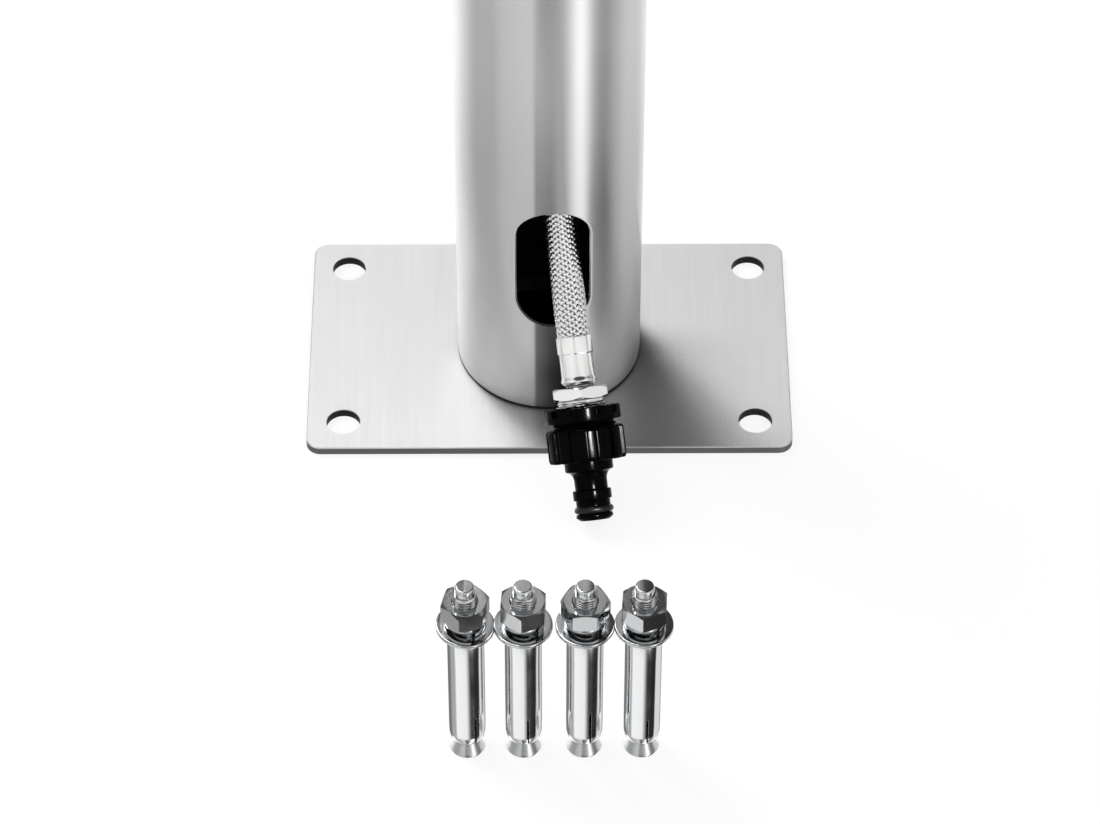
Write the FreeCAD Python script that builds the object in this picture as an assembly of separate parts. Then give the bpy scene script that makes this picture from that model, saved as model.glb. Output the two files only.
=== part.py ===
import FreeCAD, Part
import math
import os

# Stainless garden shower on a bolted foot, in millimetres.
# The origin is the centre of the foot plate's underside, +Z is up.
# The service slot and the inlet hose face -Y, the shower head hangs on the +Y side.

V = FreeCAD.Vector
UP = V(0, 0, 1)
OUT = V(0, 1, 0)

# Foot plate
plate_width = 200.0
plate_depth = 120.0
plate_thickness = 4.0
plate_corner = 6.0
plate_edge_break = 0.4
bolt_hole_radius = 7.0
bolt_edge = 15.0

# Column tube
column_radius = 38.05
column_wall = 1.5
column_top = 2110.0
column_lift = 0.5
weld_leg = 3.0
slot_width = 30.5
slot_height = 63.5
slot_above_plate = 48.0
slot_turn = 2.5

# Cap on the column
cap_thickness = 3.0
cap_skirt = 12.0
cap_skirt_wall = 2.0
cap_ring_height = 3.0
cap_ring_depth = 1.2
cap_edge = 1.0

# Clearances between pieces that fit in or over each other
weld_gap = 0.1
thread_gap = 0.1
seat_gap = 0.1
run_gap = 0.06
ring_squeeze = 0.05

# Braided inlet hose and its crimped ends
hose_radius = 6.5
hose_bore = 4.0
crimp_radius = 6.2
crimp_length = 15.0
ferrule_collar_radius = 7.4
ferrule_collar = 7.1
ferrule_sleeve_radius = 6.85
ferrule_bead_radius = 7.1
ferrule_bead = 2.8
ferrule_length = 19.6
tail_bore = 2.75
tail_start = 1.0
hose_tail_drop = 61.0
hose_bend_rise = 116.0
ferrule_step = 0.5
ferrule_end = 0.6

# Threads: outer radii of pipe threads 1/2 and 3/4
half_inch_thread = 10.45
three_quarter_thread = 13.2
thread_chamfer = 1.0

# Hose end with the male thread
hose_hex = 22.0
hose_hex_height = 5.0
hose_neck = 0.9
hose_thread_length = 11.5

# Threaded reducer and hose connector, black plastic
adaptor_flange_radius = 15.3
adaptor_flange = 5.7
adaptor_cover = 8.2
adaptor_thread_length = 12.0
adaptor_notches = 10
adaptor_notch_width = 2.6
adaptor_notch_depth = 3.0
washer_thickness = 2.0
nut_radius = 15.8
nut_height = 13.5
nut_flutes = 12
nut_flute_width = 3.4
nut_flute_depth = 1.2
nut_cover = 9.5
shoulder_radius = 9.8
shoulder_height = 4.0
shoulder_fillet = 3.0
neck_radius = 6.65
neck_height = 4.5
collar_radius = 7.8
collar_height = 4.2
groove_radius = 6.9
groove_height = 2.4
gland_depth = 1.9
o_ring_wire = 1.5
nose_radius = 7.5
nose_height = 2.8
nose_round = 1.4
connector_bore = 4.2
washer_bore = 5.2
nut_bevel = 0.8

# Stop valve, its axis along +Y
valve_height = 1050.0
valve_y = 6.0
valve_body_radius = 13.5
valve_body_half = 20.0
port_length = 12.0
port_bore = 4.5
inlet_offset = 4.0
outlet_offset = 3.5
chamber_radius = 9.6
chamber_floor = 1.5
seat_bore = 3.6
valve_neck_radius = 12.6
valve_neck_hole_gap = 0.4
valve_neck_spare = 1.0
gasket_thickness = 1.5
gasket_inset = 1.0
valve_ring_radius = 22.0
valve_ring_thickness = 4.0
valve_ring_edge = 1.0
valve_nut_hex = 30.0
valve_nut_height = 4.5

# Ceramic headwork in the valve
seal_thickness = 2.0
disc_radius = 8.2
disc_thickness = 2.6
disc_hub_radius = 1.8
headwork_window_start = 0.5
headwork_window = 8.0
headwork_cavity = 4.0
headwork_hex = 24.0
headwork_hex_height = 5.0
headwork_nose = 6.0
spindle_radius = 3.6
spindle_flange_radius = 7.6
spindle_flange = 3.0
spindle_reach = 12.0
spindle_ring_wire = 0.8
spindle_ring_gap = 0.02
spindle_bevel = 0.5

# Handle
knob_radius = 18.0
knob_solid = 20.0
knob_gap = 1.5
knob_wall = 2.2
knob_recess_spare = 1.5
knob_edge = 1.5
lever_radius = 4.0
lever_length = 46.0
lever_seat = 8.0
lever_turn = 90.0
grub_radius = 2.0
grub_length = 6.0

# Riser pipe inside the column
riser_radius = 6.0
riser_wall = 1.0
riser_insert = 6.0
union_hex = 24.0
union_height = 16.0
union_floor = 3.0
olive_height = 4.0
olive_wall = 2.4

# Shower arm
arm_below_top = 60.0
arm_reach = 235.0
arm_radius = 11.0
arm_wall = 1.5
arm_bend = 45.0
arm_drop = 22.0
arm_thread_length = 12.0
arm_hole_gap = 0.4
arm_collar_radius = 25.0
arm_collar_wall = 2.0
arm_collar_spare = 2.0
arm_collar_edge = 2.0
arm_nut_hex = 32.0
arm_nut_height = 5.0
arm_neck_spare = 1.0

# Ball joint and shower head
swivel_hex = 24.0
swivel_cover = 10.0
stem_radius = 5.5
stem_flange_radius = 9.4
stem_flange = 2.0
swivel_floor = 3.0
ball_radius = 11.0
ball_drop = 14.0
ball_bore = 3.5
ball_gap = 0.1
socket_radius = 15.5
socket_depth = 14.0
socket_rim = 1.5
socket_seal_depth = 2.5
socket_seal_drop = 8.25
socket_seal_radius = 7.7
cap_nut_radius = 18.0
cap_nut_rise = 8.0
cap_nut_lip = 6.0
cap_nut_skirt = 6.5
cap_nut_bevel = 0.6
cap_nut_taper = 4.0
head_radius = 80.0
head_height = 9.0
head_sheet = 1.2
head_crown = 3.0
head_edge = 1.5
head_inner_edge = 1.0
face_thickness = 1.2
face_gap = 0.15
mat_thickness = 1.0
mat_inset = 1.0
nozzle_radius = 1.5
nozzle_tip_radius = 0.9
nozzle_root = 0.2
nozzle_reach = 1.8
nozzle_rings = 4
nozzle_pitch = 16.5

# Expansion anchors standing in front of the foot
anchor_places = [(-32.2, -214.0), (-10.5, -214.0), (12.8, -214.0), (34.9, -214.0)]
anchor_turns = [20.0, 0.0, 32.0, 4.0]
anchor_stud_radius = 4.8
anchor_length = 93.0
anchor_tip_radius = 3.4
anchor_tip = 3.5
anchor_tip_chamfer = 0.4
anchor_cone_radius = 6.8
anchor_cone_top = 4.5
anchor_cone_rim = 1.0
anchor_cone = 7.0
anchor_neck = 2.0
anchor_thread_end = 1.0
anchor_sleeve_radius = 7.0
anchor_head_room = 30.5
anchor_sleeve_length = anchor_length - anchor_head_room
anchor_sleeve_bevel = 0.8
anchor_sleeve_gap = 0.3
anchor_slit_width = 1.2
anchor_slit_length = 17.0
anchor_slit_turn = 205.0
anchor_washer_radius = 11.2
anchor_washer = 1.8
anchor_spring_radius = 7.8
anchor_spring_section = 2.5
anchor_spring_height = 2.2
anchor_spring_pitch = 2.7
anchor_spring_turn = 352.0
anchor_nut_hex = 16.5
anchor_nut = 8.4

# Derived places
arm_height = column_top - arm_below_top
inner_radius = column_radius - column_wall
valve_ring_face = column_radius + gasket_thickness + valve_ring_thickness
valve_neck_end = valve_ring_face + valve_nut_height + valve_neck_spare
arm_neck_end = column_radius + gasket_thickness + arm_nut_height + arm_neck_spare
slot_low = plate_thickness + slot_above_plate
valve_seat = valve_y + chamber_floor
port_low = valve_height - valve_body_half - port_length
hose_start = port_low - hose_tail_drop
hose_bend = slot_low + hose_bend_rise
hose_drop = hose_start - hose_bend
port_high = valve_height + valve_body_half + port_length
riser_low = port_high - riser_insert
elbow_low = arm_height - valve_body_half - port_length
riser_high = elbow_low + riser_insert
arm_end = arm_height - arm_bend - arm_drop
stem_top = arm_end - arm_thread_length
ball_centre = stem_top - washer_thickness - stem_flange - swivel_floor - ball_drop

# Route of the free hose from the valve end down to the end of the braid, chosen by hand
hose_route = [
    (0.0, valve_y, hose_start),
    (0.0, valve_y, hose_bend + 0.91 * hose_drop),
    (-3.0, 2.0, hose_bend + 0.79 * hose_drop),
    (-7.0, -3.0, hose_bend + 0.62 * hose_drop),
    (-2.0, -8.0, hose_bend + 0.45 * hose_drop),
    (6.0, -10.0, hose_bend + 0.28 * hose_drop),
    (9.0, -9.0, hose_bend + 0.115 * hose_drop),
    (4.6, -11.5, hose_bend),
    (3.2, -14.9, slot_low + 58.4),
    (6.2, -27.9, slot_low + 26.9),
    (9.7, -49.0, slot_low + 5.8),
]

nodes = {}


def turned(profile):
    corners = [V(r, 0, h) for r, h in profile]
    wire = Part.makePolygon(corners + [corners[0]])
    return Part.Face(wire).revolve(V(0, 0, 0), UP, 360)


def pipe(outer, inner, low, high):
    return turned([(inner, low), (outer, low), (outer, high), (inner, high)])


def rod(radius, low, high):
    return Part.makeCylinder(radius, high - low, V(0, 0, low))


def hexagon(across_flats, low, high):
    corner = across_flats / math.sqrt(3)
    points = [V(corner * math.cos(math.radians(60 * i)), corner * math.sin(math.radians(60 * i)), low)
              for i in range(7)]
    prism = Part.Face(Part.makePolygon(points)).extrude(V(0, 0, high - low))
    flat = across_flats / 2
    bevel = (corner - flat) * math.tan(math.radians(30)) * 1.1
    rounded = turned([(0, low), (flat, low), (corner, low + bevel), (corner, high - bevel),
                      (flat, high), (0, high)])
    return prism.common(rounded)


def aimed(shape, base, direction, spin=0.0):
    place = FreeCAD.Placement(base, FreeCAD.Rotation(UP, direction))
    turn = FreeCAD.Placement(V(0, 0, 0), FreeCAD.Rotation(UP, spin))
    moved = shape.copy()
    moved.Placement = place.multiply(turn).multiply(moved.Placement)
    return moved


def moved_to(shape, x, y, z=0.0):
    return aimed(shape, V(x, y, z), UP)


def around(shape, count, first=0.0):
    return [aimed(shape, V(0, 0, 0), UP, first + 360.0 * i / count) for i in range(count)]


def tube_path(points):
    """Straight runs joined by tangent arcs, each as large as its two runs allow."""
    corners = [V(*p) for p in points]
    edges = []
    radii = []
    start = corners[0]
    for before, corner, after in zip(corners, corners[1:], corners[2:]):
        back = before - corner
        ahead = after - corner
        shorter = min(back.Length, ahead.Length)
        back.normalize()
        ahead.normalize()
        half_turn = (math.pi - back.getAngle(ahead)) / 2
        radius = 0.45 * shorter / math.tan(half_turn)
        first = corner + back * (0.45 * shorter)
        last = corner + ahead * (0.45 * shorter)
        inward = back + ahead
        inward.normalize()
        middle = corner + inward * (radius / math.cos(half_turn) - radius)
        edges.append(Part.LineSegment(start, first).toShape())
        edges.append(Part.Arc(first, middle, last).toShape())
        radii.append(radius)
        start = last
    edges.append(Part.LineSegment(start, corners[-1]).toShape())
    return Part.Wire(edges), radii


def swept(path, radius):
    edge = path.Edges[0]
    start = edge.valueAt(edge.FirstParameter)
    along = edge.tangentAt(edge.FirstParameter)
    ring = Part.Wire(Part.Circle(start, along, radius).toShape())
    return path.makePipeShell([ring], True, False)


def foot():
    plate = Part.makeBox(plate_width, plate_depth, plate_thickness, V(-plate_width / 2, -plate_depth / 2, 0))
    upright = [e for e in plate.Edges if abs(e.tangentAt(e.FirstParameter).z) > 0.9]
    plate = plate.makeFillet(plate_corner, upright)
    rims = [e for e in plate.Edges if e.BoundBox.ZLength < 1e-6]
    plate = plate.makeChamfer(plate_edge_break, rims)
    bore = column_radius + weld_gap
    plate = plate.cut(rod(bore, -1, plate_thickness + 1))
    plate = plate.cut(turned([(0, -1), (bore + weld_leg + 1, -1), (bore, weld_leg), (0, weld_leg)]))
    hole = rod(bolt_hole_radius, -1, plate_thickness + 1)
    for side in (-1, 1):
        for end in (-1, 1):
            x = side * (plate_width / 2 - bolt_edge)
            y = end * (plate_depth / 2 - bolt_edge)
            plate = plate.cut(moved_to(hole, x, y))
    nodes["base_plate"] = [plate]
    weld_foot = bore + weld_leg - column_lift
    weld = turned([(column_radius, column_lift), (weld_foot, column_lift), (bore, weld_leg),
                   (column_radius, weld_leg)])
    nodes["base_weld"] = [weld]


def slot_cutter():
    end = slot_width / 2
    low = slot_low + end
    high = slot_low + slot_height - end
    length = column_radius + 5
    shape = Part.makeBox(slot_width, length, high - low, V(-end, -length, low))
    for z in (low, high):
        shape = shape.fuse(Part.makeCylinder(end, length, V(0, 0, z), -OUT))
    return aimed(shape, V(0, 0, 0), UP, slot_turn)


def column():
    tube = pipe(column_radius, inner_radius, column_lift, column_top)
    tube = tube.cut(slot_cutter())
    valve_hole = valve_neck_radius + valve_neck_hole_gap
    tube = tube.cut(Part.makeCylinder(valve_hole, column_radius + 5, V(0, 0, valve_height), OUT))
    arm_hole = three_quarter_thread + arm_hole_gap
    tube = tube.cut(Part.makeCylinder(arm_hole, column_radius + 5, V(0, 0, arm_height), OUT))
    nodes["column_tube"] = [tube]
    skirt = inner_radius - seat_gap
    skirt_in = skirt - cap_skirt_wall
    top = column_top + cap_thickness
    ring_low = column_top - cap_skirt / 2 - cap_ring_height / 2
    ring_high = ring_low + cap_ring_height
    cap = turned([(0, column_top), (skirt_in, column_top), (skirt_in, column_top - cap_skirt),
                  (skirt, column_top - cap_skirt), (skirt, ring_low), (skirt - cap_ring_depth, ring_low),
                  (skirt - cap_ring_depth, ring_high), (skirt, ring_high), (skirt, column_top),
                  (column_radius, column_top), (column_radius, top - cap_edge),
                  (column_radius - cap_edge, top), (0, top)])
    nodes["top_cap"] = [cap]
    nodes["cap_ring"] = [pipe(inner_radius - ring_squeeze, skirt - cap_ring_depth + ring_squeeze,
                              ring_low + ring_squeeze, ring_high - ring_squeeze)]


def ferrule():
    """Crimped sleeve from the end of the braid at 0 upwards."""
    bore = crimp_radius + ring_squeeze
    lip = hose_bore + ring_squeeze
    bead = ferrule_length - ferrule_bead
    return turned([
        (bore, 0), (ferrule_collar_radius, 0), (ferrule_collar_radius, ferrule_collar - ferrule_step),
        (ferrule_sleeve_radius, ferrule_collar), (ferrule_sleeve_radius, bead),
        (ferrule_bead_radius, bead + ferrule_bead / 3), (ferrule_bead_radius, bead + 2 * ferrule_bead / 3),
        (ferrule_sleeve_radius - ferrule_end, ferrule_length), (lip, ferrule_length),
        (lip, crimp_length + ring_squeeze), (bore, crimp_length + ring_squeeze)])


def hose():
    path, radii = tube_path(hose_route)
    body = swept(path, hose_radius)
    bore = swept(path, hose_bore)
    print("hose arc radii", [round(r, 1) for r in radii], "hose diameter", 2 * hose_radius)
    plain = math.pi * hose_radius ** 2 * path.Length
    print("hose volume over section times length", round(body.Volume / plain, 5))
    print("hose length", round(path.Length, 1))
    low_end = V(*hose_route[-1])
    top_end = V(*hose_route[0])
    down = low_end - V(*hose_route[-2])
    down.normalize()
    ends = ((low_end, down), (top_end, UP))
    crimped = rod(crimp_radius, 0, crimp_length)
    through = rod(hose_bore, -1, crimp_length + 1)
    whole = body
    for place, direction in ends:
        whole = whole.fuse(aimed(crimped, place, direction))
    whole = whole.cut(bore)
    for place, direction in ends:
        whole = whole.cut(aimed(through, place, direction))
    nodes["inlet_hose"] = whole.Solids
    nodes["hose_ferrules"] = [aimed(ferrule(), place, direction) for place, direction in ends]
    return low_end, down, top_end


def hose_lower_end(place, direction):
    insert = hose_bore - ring_squeeze
    hex_low = ferrule_length + hose_neck
    hex_high = hex_low + hose_hex_height
    thread_end = hex_high + hose_thread_length
    tail = rod(insert, tail_start, hex_low).fuse(hexagon(hose_hex, hex_low, hex_high))
    tail = tail.fuse(turned([(0, hex_high), (half_inch_thread, hex_high),
                             (half_inch_thread, thread_end - thread_chamfer),
                             (half_inch_thread - thread_chamfer, thread_end), (0, thread_end)]))
    tail = tail.cut(rod(tail_bore, 0, thread_end + 1))
    nodes["hose_thread_end"] = [aimed(tail, place, direction, 30)]

    female = half_inch_thread + thread_gap
    floor = thread_end + washer_thickness
    flange_low = thread_end - adaptor_cover
    flange_high = flange_low + adaptor_flange
    thread_high = flange_high + adaptor_thread_length
    adaptor = turned([
        (female, flange_low), (adaptor_flange_radius, flange_low), (adaptor_flange_radius, flange_high),
        (three_quarter_thread, flange_high), (three_quarter_thread, thread_high - thread_chamfer),
        (three_quarter_thread - thread_chamfer, thread_high), (washer_bore, thread_high),
        (washer_bore, floor), (female, floor)])
    notch = Part.makeBox(adaptor_notch_depth + 1, adaptor_notch_width, adaptor_notch_depth,
                         V(adaptor_flange_radius - adaptor_notch_depth, -adaptor_notch_width / 2, flange_low))
    adaptor = adaptor.cut(Part.makeCompound(around(notch, adaptor_notches)))
    nodes["tap_adaptor"] = [aimed(adaptor, place, direction)]
    washer = pipe(female - seat_gap, washer_bore, thread_end, floor)
    nodes["adaptor_washer"] = [aimed(washer, place, direction)]

    nut_low = thread_high - nut_cover
    nut_floor = thread_high + washer_thickness
    nut_high = nut_low + nut_height
    shoulder = nut_high + shoulder_height
    neck_low = shoulder + shoulder_fillet
    collar_low = neck_low + neck_height
    collar_high = collar_low + collar_height
    gland_low = collar_high + groove_height
    gland_high = gland_low + 2 * (o_ring_wire + ring_squeeze)
    tip = gland_high + nose_height
    inside = three_quarter_thread + thread_gap
    fillet_middle = shoulder_fillet * (1 - math.sqrt(0.5))
    body = turned([
        (inside, nut_low), (nut_radius - nut_bevel, nut_low), (nut_radius, nut_low + nut_bevel),
        (nut_radius, nut_high),
        (shoulder_radius, nut_high), (shoulder_radius, shoulder),
        (neck_radius + fillet_middle, shoulder + fillet_middle), (neck_radius, neck_low),
        (neck_radius, collar_low), (collar_radius, collar_low), (collar_radius, collar_high),
        (groove_radius, collar_high), (groove_radius, gland_low), (groove_radius - gland_depth, gland_low),
        (groove_radius - gland_depth, gland_high), (nose_radius, gland_high),
        (nose_radius, tip - nose_round), (nose_radius - nose_round, tip), (connector_bore, tip),
        (connector_bore, nut_floor), (inside, nut_floor)])
    flute = Part.makeBox(nut_flute_depth + 1, nut_flute_width, nut_height + 2,
                         V(nut_radius - nut_flute_depth, -nut_flute_width / 2, nut_low - 1))
    body = body.cut(Part.makeCompound(around(flute, nut_flutes)))
    nodes["hose_connector"] = [aimed(body, place, direction)]
    washer = pipe(inside - seat_gap, washer_bore, thread_high, nut_floor)
    nodes["connector_washer"] = [aimed(washer, place, direction)]
    ring_radius = groove_radius - gland_depth + o_ring_wire + ring_squeeze
    ring = Part.makeTorus(ring_radius, o_ring_wire, V(0, 0, (gland_low + gland_high) / 2))
    nodes["connector_o_ring"] = [aimed(ring, place, direction)]


def hose_upper_end(place):
    """Flanged tail, sealing washer and swivel nut under the valve's lower port."""
    insert = hose_bore - ring_squeeze
    flange_high = port_low - place.z - washer_thickness
    flange_low = flange_high - washer_thickness
    nut_floor = flange_low - union_floor
    tail = rod(insert, tail_start, flange_low).fuse(rod(stem_flange_radius, flange_low, flange_high))
    tail = tail.cut(rod(tail_bore, 0, flange_high + 1))
    nodes["hose_tail"] = [aimed(tail, place, UP)]
    washer = pipe(stem_flange_radius, port_bore, flange_high, flange_high + washer_thickness)
    nodes["hose_tail_washer"] = [aimed(washer, place, UP)]
    nut = hexagon(union_hex, nut_floor, nut_floor + union_height)
    nut = nut.cut(rod(half_inch_thread + thread_gap, flange_low, nut_floor + union_height + 1))
    nut = nut.cut(rod(insert + seat_gap, nut_floor - 1, flange_low + 1))
    nodes["hose_nut"] = [aimed(nut, place, UP)]


def ported_body(neck_end, neck_radius, height, ports):
    """Brass body about a vertical line at valve_y, with a neck along +Y at the given height."""
    body = rod(valve_body_radius, height - valve_body_half, height + valve_body_half)
    for port in ports:
        end = height + port * (valve_body_half + port_length)
        low = min(height, end)
        high = max(height, end)
        body = body.fuse(rod(half_inch_thread, low, high))
    body = moved_to(body, 0, valve_y)
    neck = Part.makeCylinder(neck_radius, neck_end - valve_y, V(0, valve_y, height), OUT)
    return body.fuse(neck)


def on_front(shape, y, height):
    """The shape's own +Z axis laid along +Y at the given place."""
    return aimed(shape, V(0, y, height), OUT)


def saddle_gasket(outer, inner, height):
    """Rubber sheet with the column's curve, around a hole in its front."""
    sheet = pipe(column_radius + gasket_thickness, column_radius, height - outer - 1, height + outer + 1)
    return sheet.common(on_front(pipe(outer, inner, 0, column_radius + gasket_thickness + 1), 0, height))


def saddle_ring(ring, outer, start, height):
    """A turned ring about +Y, its back cut to the column's curve."""
    back = rod(column_radius + start, height - outer - 1, height + outer + 1)
    return on_front(ring, 0, height).cut(back)


def stop_valve():
    body = ported_body(valve_neck_end, valve_neck_radius, valve_height, (-1, 1))
    inlet = moved_to(rod(port_bore, port_low, valve_height + port_bore), 0, valve_y - inlet_offset)
    outlet = moved_to(rod(port_bore, valve_height, port_high), 0, valve_y + outlet_offset)
    outlet_mouth = moved_to(rod(riser_radius + seat_gap, riser_low, port_high + 1), 0, valve_y)
    chamber = on_front(rod(chamber_radius, valve_seat, valve_neck_end + 1), 0, valve_height)
    seat = on_front(rod(seat_bore, valve_y - inlet_offset, valve_seat + 1), 0, valve_height)
    for hole in (inlet, outlet, outlet_mouth, chamber, seat):
        body = body.cut(hole)
    nodes["valve_body"] = [body]
    hole = valve_neck_radius + seat_gap
    nodes["valve_gasket"] = [saddle_gasket(valve_ring_radius - gasket_inset, hole, valve_height)]
    ring = turned([(hole, 0), (valve_ring_radius, 0), (valve_ring_radius, valve_ring_face - valve_ring_edge),
                   (valve_ring_radius - valve_ring_edge, valve_ring_face), (hole, valve_ring_face)])
    nodes["valve_ring"] = [saddle_ring(ring, valve_ring_radius, gasket_thickness, valve_height)]
    lock = hexagon(valve_nut_hex, valve_ring_face, valve_ring_face + valve_nut_height)
    lock = lock.cut(rod(valve_neck_radius + thread_gap, 0, valve_neck_end))
    nodes["valve_lock_nut"] = [on_front(lock, 0, valve_height)]


def headwork():
    """Quarter-turn ceramic discs, their spindle and the brass body that holds them."""
    outside = chamber_radius - thread_gap
    inside = disc_radius + seat_gap
    fixed_low = valve_seat + seal_thickness
    moving_low = fixed_low + disc_thickness
    drive_low = moving_low + disc_thickness
    drive_high = drive_low + spindle_flange
    cavity_end = drive_low + headwork_cavity
    hex_high = valve_neck_end + headwork_hex_height
    nose_high = hex_high + headwork_nose
    spindle_end = nose_high + spindle_reach
    nodes["valve_seal"] = [on_front(pipe(disc_radius, seat_bore, valve_seat, fixed_low), 0, valve_height)]
    quarter = Part.makeBox(disc_radius, disc_radius, disc_thickness + 2)
    hub = rod(disc_hub_radius, 0, disc_thickness + 2)
    windows = [aimed(quarter, V(0, 0, 0), UP, angle).cut(hub) for angle in (45, 225)]
    for name, low, turn in (("fixed_disc", fixed_low, 0), ("moving_disc", moving_low, 90)):
        disc = rod(disc_radius, low, low + disc_thickness)
        for shape in windows:
            disc = disc.cut(aimed(shape, V(0, 0, low - 1), UP, turn))
        nodes[name] = [on_front(disc, 0, valve_height)]
    shell = rod(outside, fixed_low, valve_neck_end)
    shell = shell.fuse(hexagon(headwork_hex, valve_neck_end, hex_high))
    shell = shell.fuse(rod(spindle_flange_radius, hex_high, nose_high))
    shell = shell.cut(rod(inside, fixed_low, cavity_end))
    shell = shell.cut(rod(spindle_radius + run_gap, cavity_end, nose_high))
    side = Part.makeBox(headwork_window, 4 * outside, headwork_cavity - 2 * headwork_window_start,
                        V(-headwork_window / 2, -2 * outside, drive_low + headwork_window_start))
    nodes["valve_headwork"] = [on_front(shell.cut(side), 0, valve_height)]
    ring_radius = spindle_radius + run_gap - spindle_ring_gap - spindle_ring_wire
    gland = ring_radius - spindle_ring_wire
    ring_middle = (cavity_end + valve_neck_end) / 2
    gland_low = ring_middle - spindle_ring_wire - ring_squeeze
    gland_high = ring_middle + spindle_ring_wire + ring_squeeze
    spindle = turned([(0, drive_low), (spindle_flange_radius, drive_low), (spindle_flange_radius, drive_high),
                      (spindle_radius, drive_high), (spindle_radius, gland_low), (gland, gland_low),
                      (gland, gland_high), (spindle_radius, gland_high),
                      (spindle_radius, spindle_end - spindle_bevel),
                      (spindle_radius - spindle_bevel, spindle_end), (0, spindle_end)])
    nodes["valve_spindle"] = [on_front(spindle, 0, valve_height)]
    ring = Part.makeTorus(ring_radius, spindle_ring_wire, V(0, 0, ring_middle))
    nodes["spindle_o_ring"] = [on_front(ring, 0, valve_height)]
    return nose_high, spindle_end


def handle(nose_high, spindle_end):
    """Turned knob with a lever pin that hangs down while the water is off."""
    low = valve_ring_face + valve_nut_height + knob_gap
    recess = nose_high + knob_recess_spare
    high = recess + knob_solid
    bore = spindle_radius + seat_gap
    knob = turned([(bore, recess), (knob_radius - knob_wall, recess), (knob_radius - knob_wall, low),
                   (knob_radius, low), (knob_radius, high - knob_edge), (knob_radius - knob_edge, high),
                   (0, high), (0, spindle_end + seat_gap), (bore, spindle_end + seat_gap)])
    middle = recess + (spindle_end - recess) / 2
    lever_hole = Part.makeCylinder(lever_radius + seat_gap, lever_seat + 1,
                                   V(knob_radius - lever_seat, 0, middle), V(1, 0, 0))
    grub_hole = Part.makeCylinder(grub_radius + seat_gap, knob_radius, V(0, 0, middle), V(-1, 0, 0))
    knob = knob.cut(lever_hole).cut(grub_hole)
    lever = rod(lever_radius, 0, lever_length - lever_radius)
    lever = lever.fuse(Part.makeSphere(lever_radius, V(0, 0, lever_length - lever_radius)))
    lever = aimed(lever, V(knob_radius - lever_seat, 0, middle), V(1, 0, 0))
    grub = turned([(0, 0), (grub_radius, 0), (grub_radius, grub_length), (grub_radius / 2, grub_length),
                   (grub_radius / 2, grub_length / 2), (0, grub_length / 2)])
    grub = aimed(grub, V(-spindle_radius - seat_gap / 2, 0, middle), V(-1, 0, 0))
    for name, shape in (("valve_knob", knob), ("valve_lever", lever), ("knob_screw", grub)):
        nodes[name] = [on_front(aimed(shape, V(0, 0, 0), UP, lever_turn), 0, valve_height)]


def riser():
    straight = pipe(riser_radius, riser_radius - riser_wall, riser_low, riser_high)
    nodes["riser_pipe"] = [moved_to(straight, 0, valve_y)]
    olive = pipe(riser_radius + olive_wall, riser_radius + ring_squeeze, 0, olive_height)
    nut = hexagon(union_hex, 0, union_height)
    nut = nut.cut(rod(half_inch_thread + thread_gap, -1, union_height - union_floor))
    nut = nut.cut(rod(riser_radius + seat_gap, 0, union_height + 1))
    below = union_height - union_floor - olive_height
    nodes["riser_olives"] = [moved_to(olive, 0, valve_y, port_high),
                             moved_to(olive, 0, valve_y, elbow_low - olive_height)]
    nodes["riser_nuts"] = [moved_to(nut, 0, valve_y, port_high - below),
                           aimed(nut, V(0, valve_y, elbow_low + below), -UP)]


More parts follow.
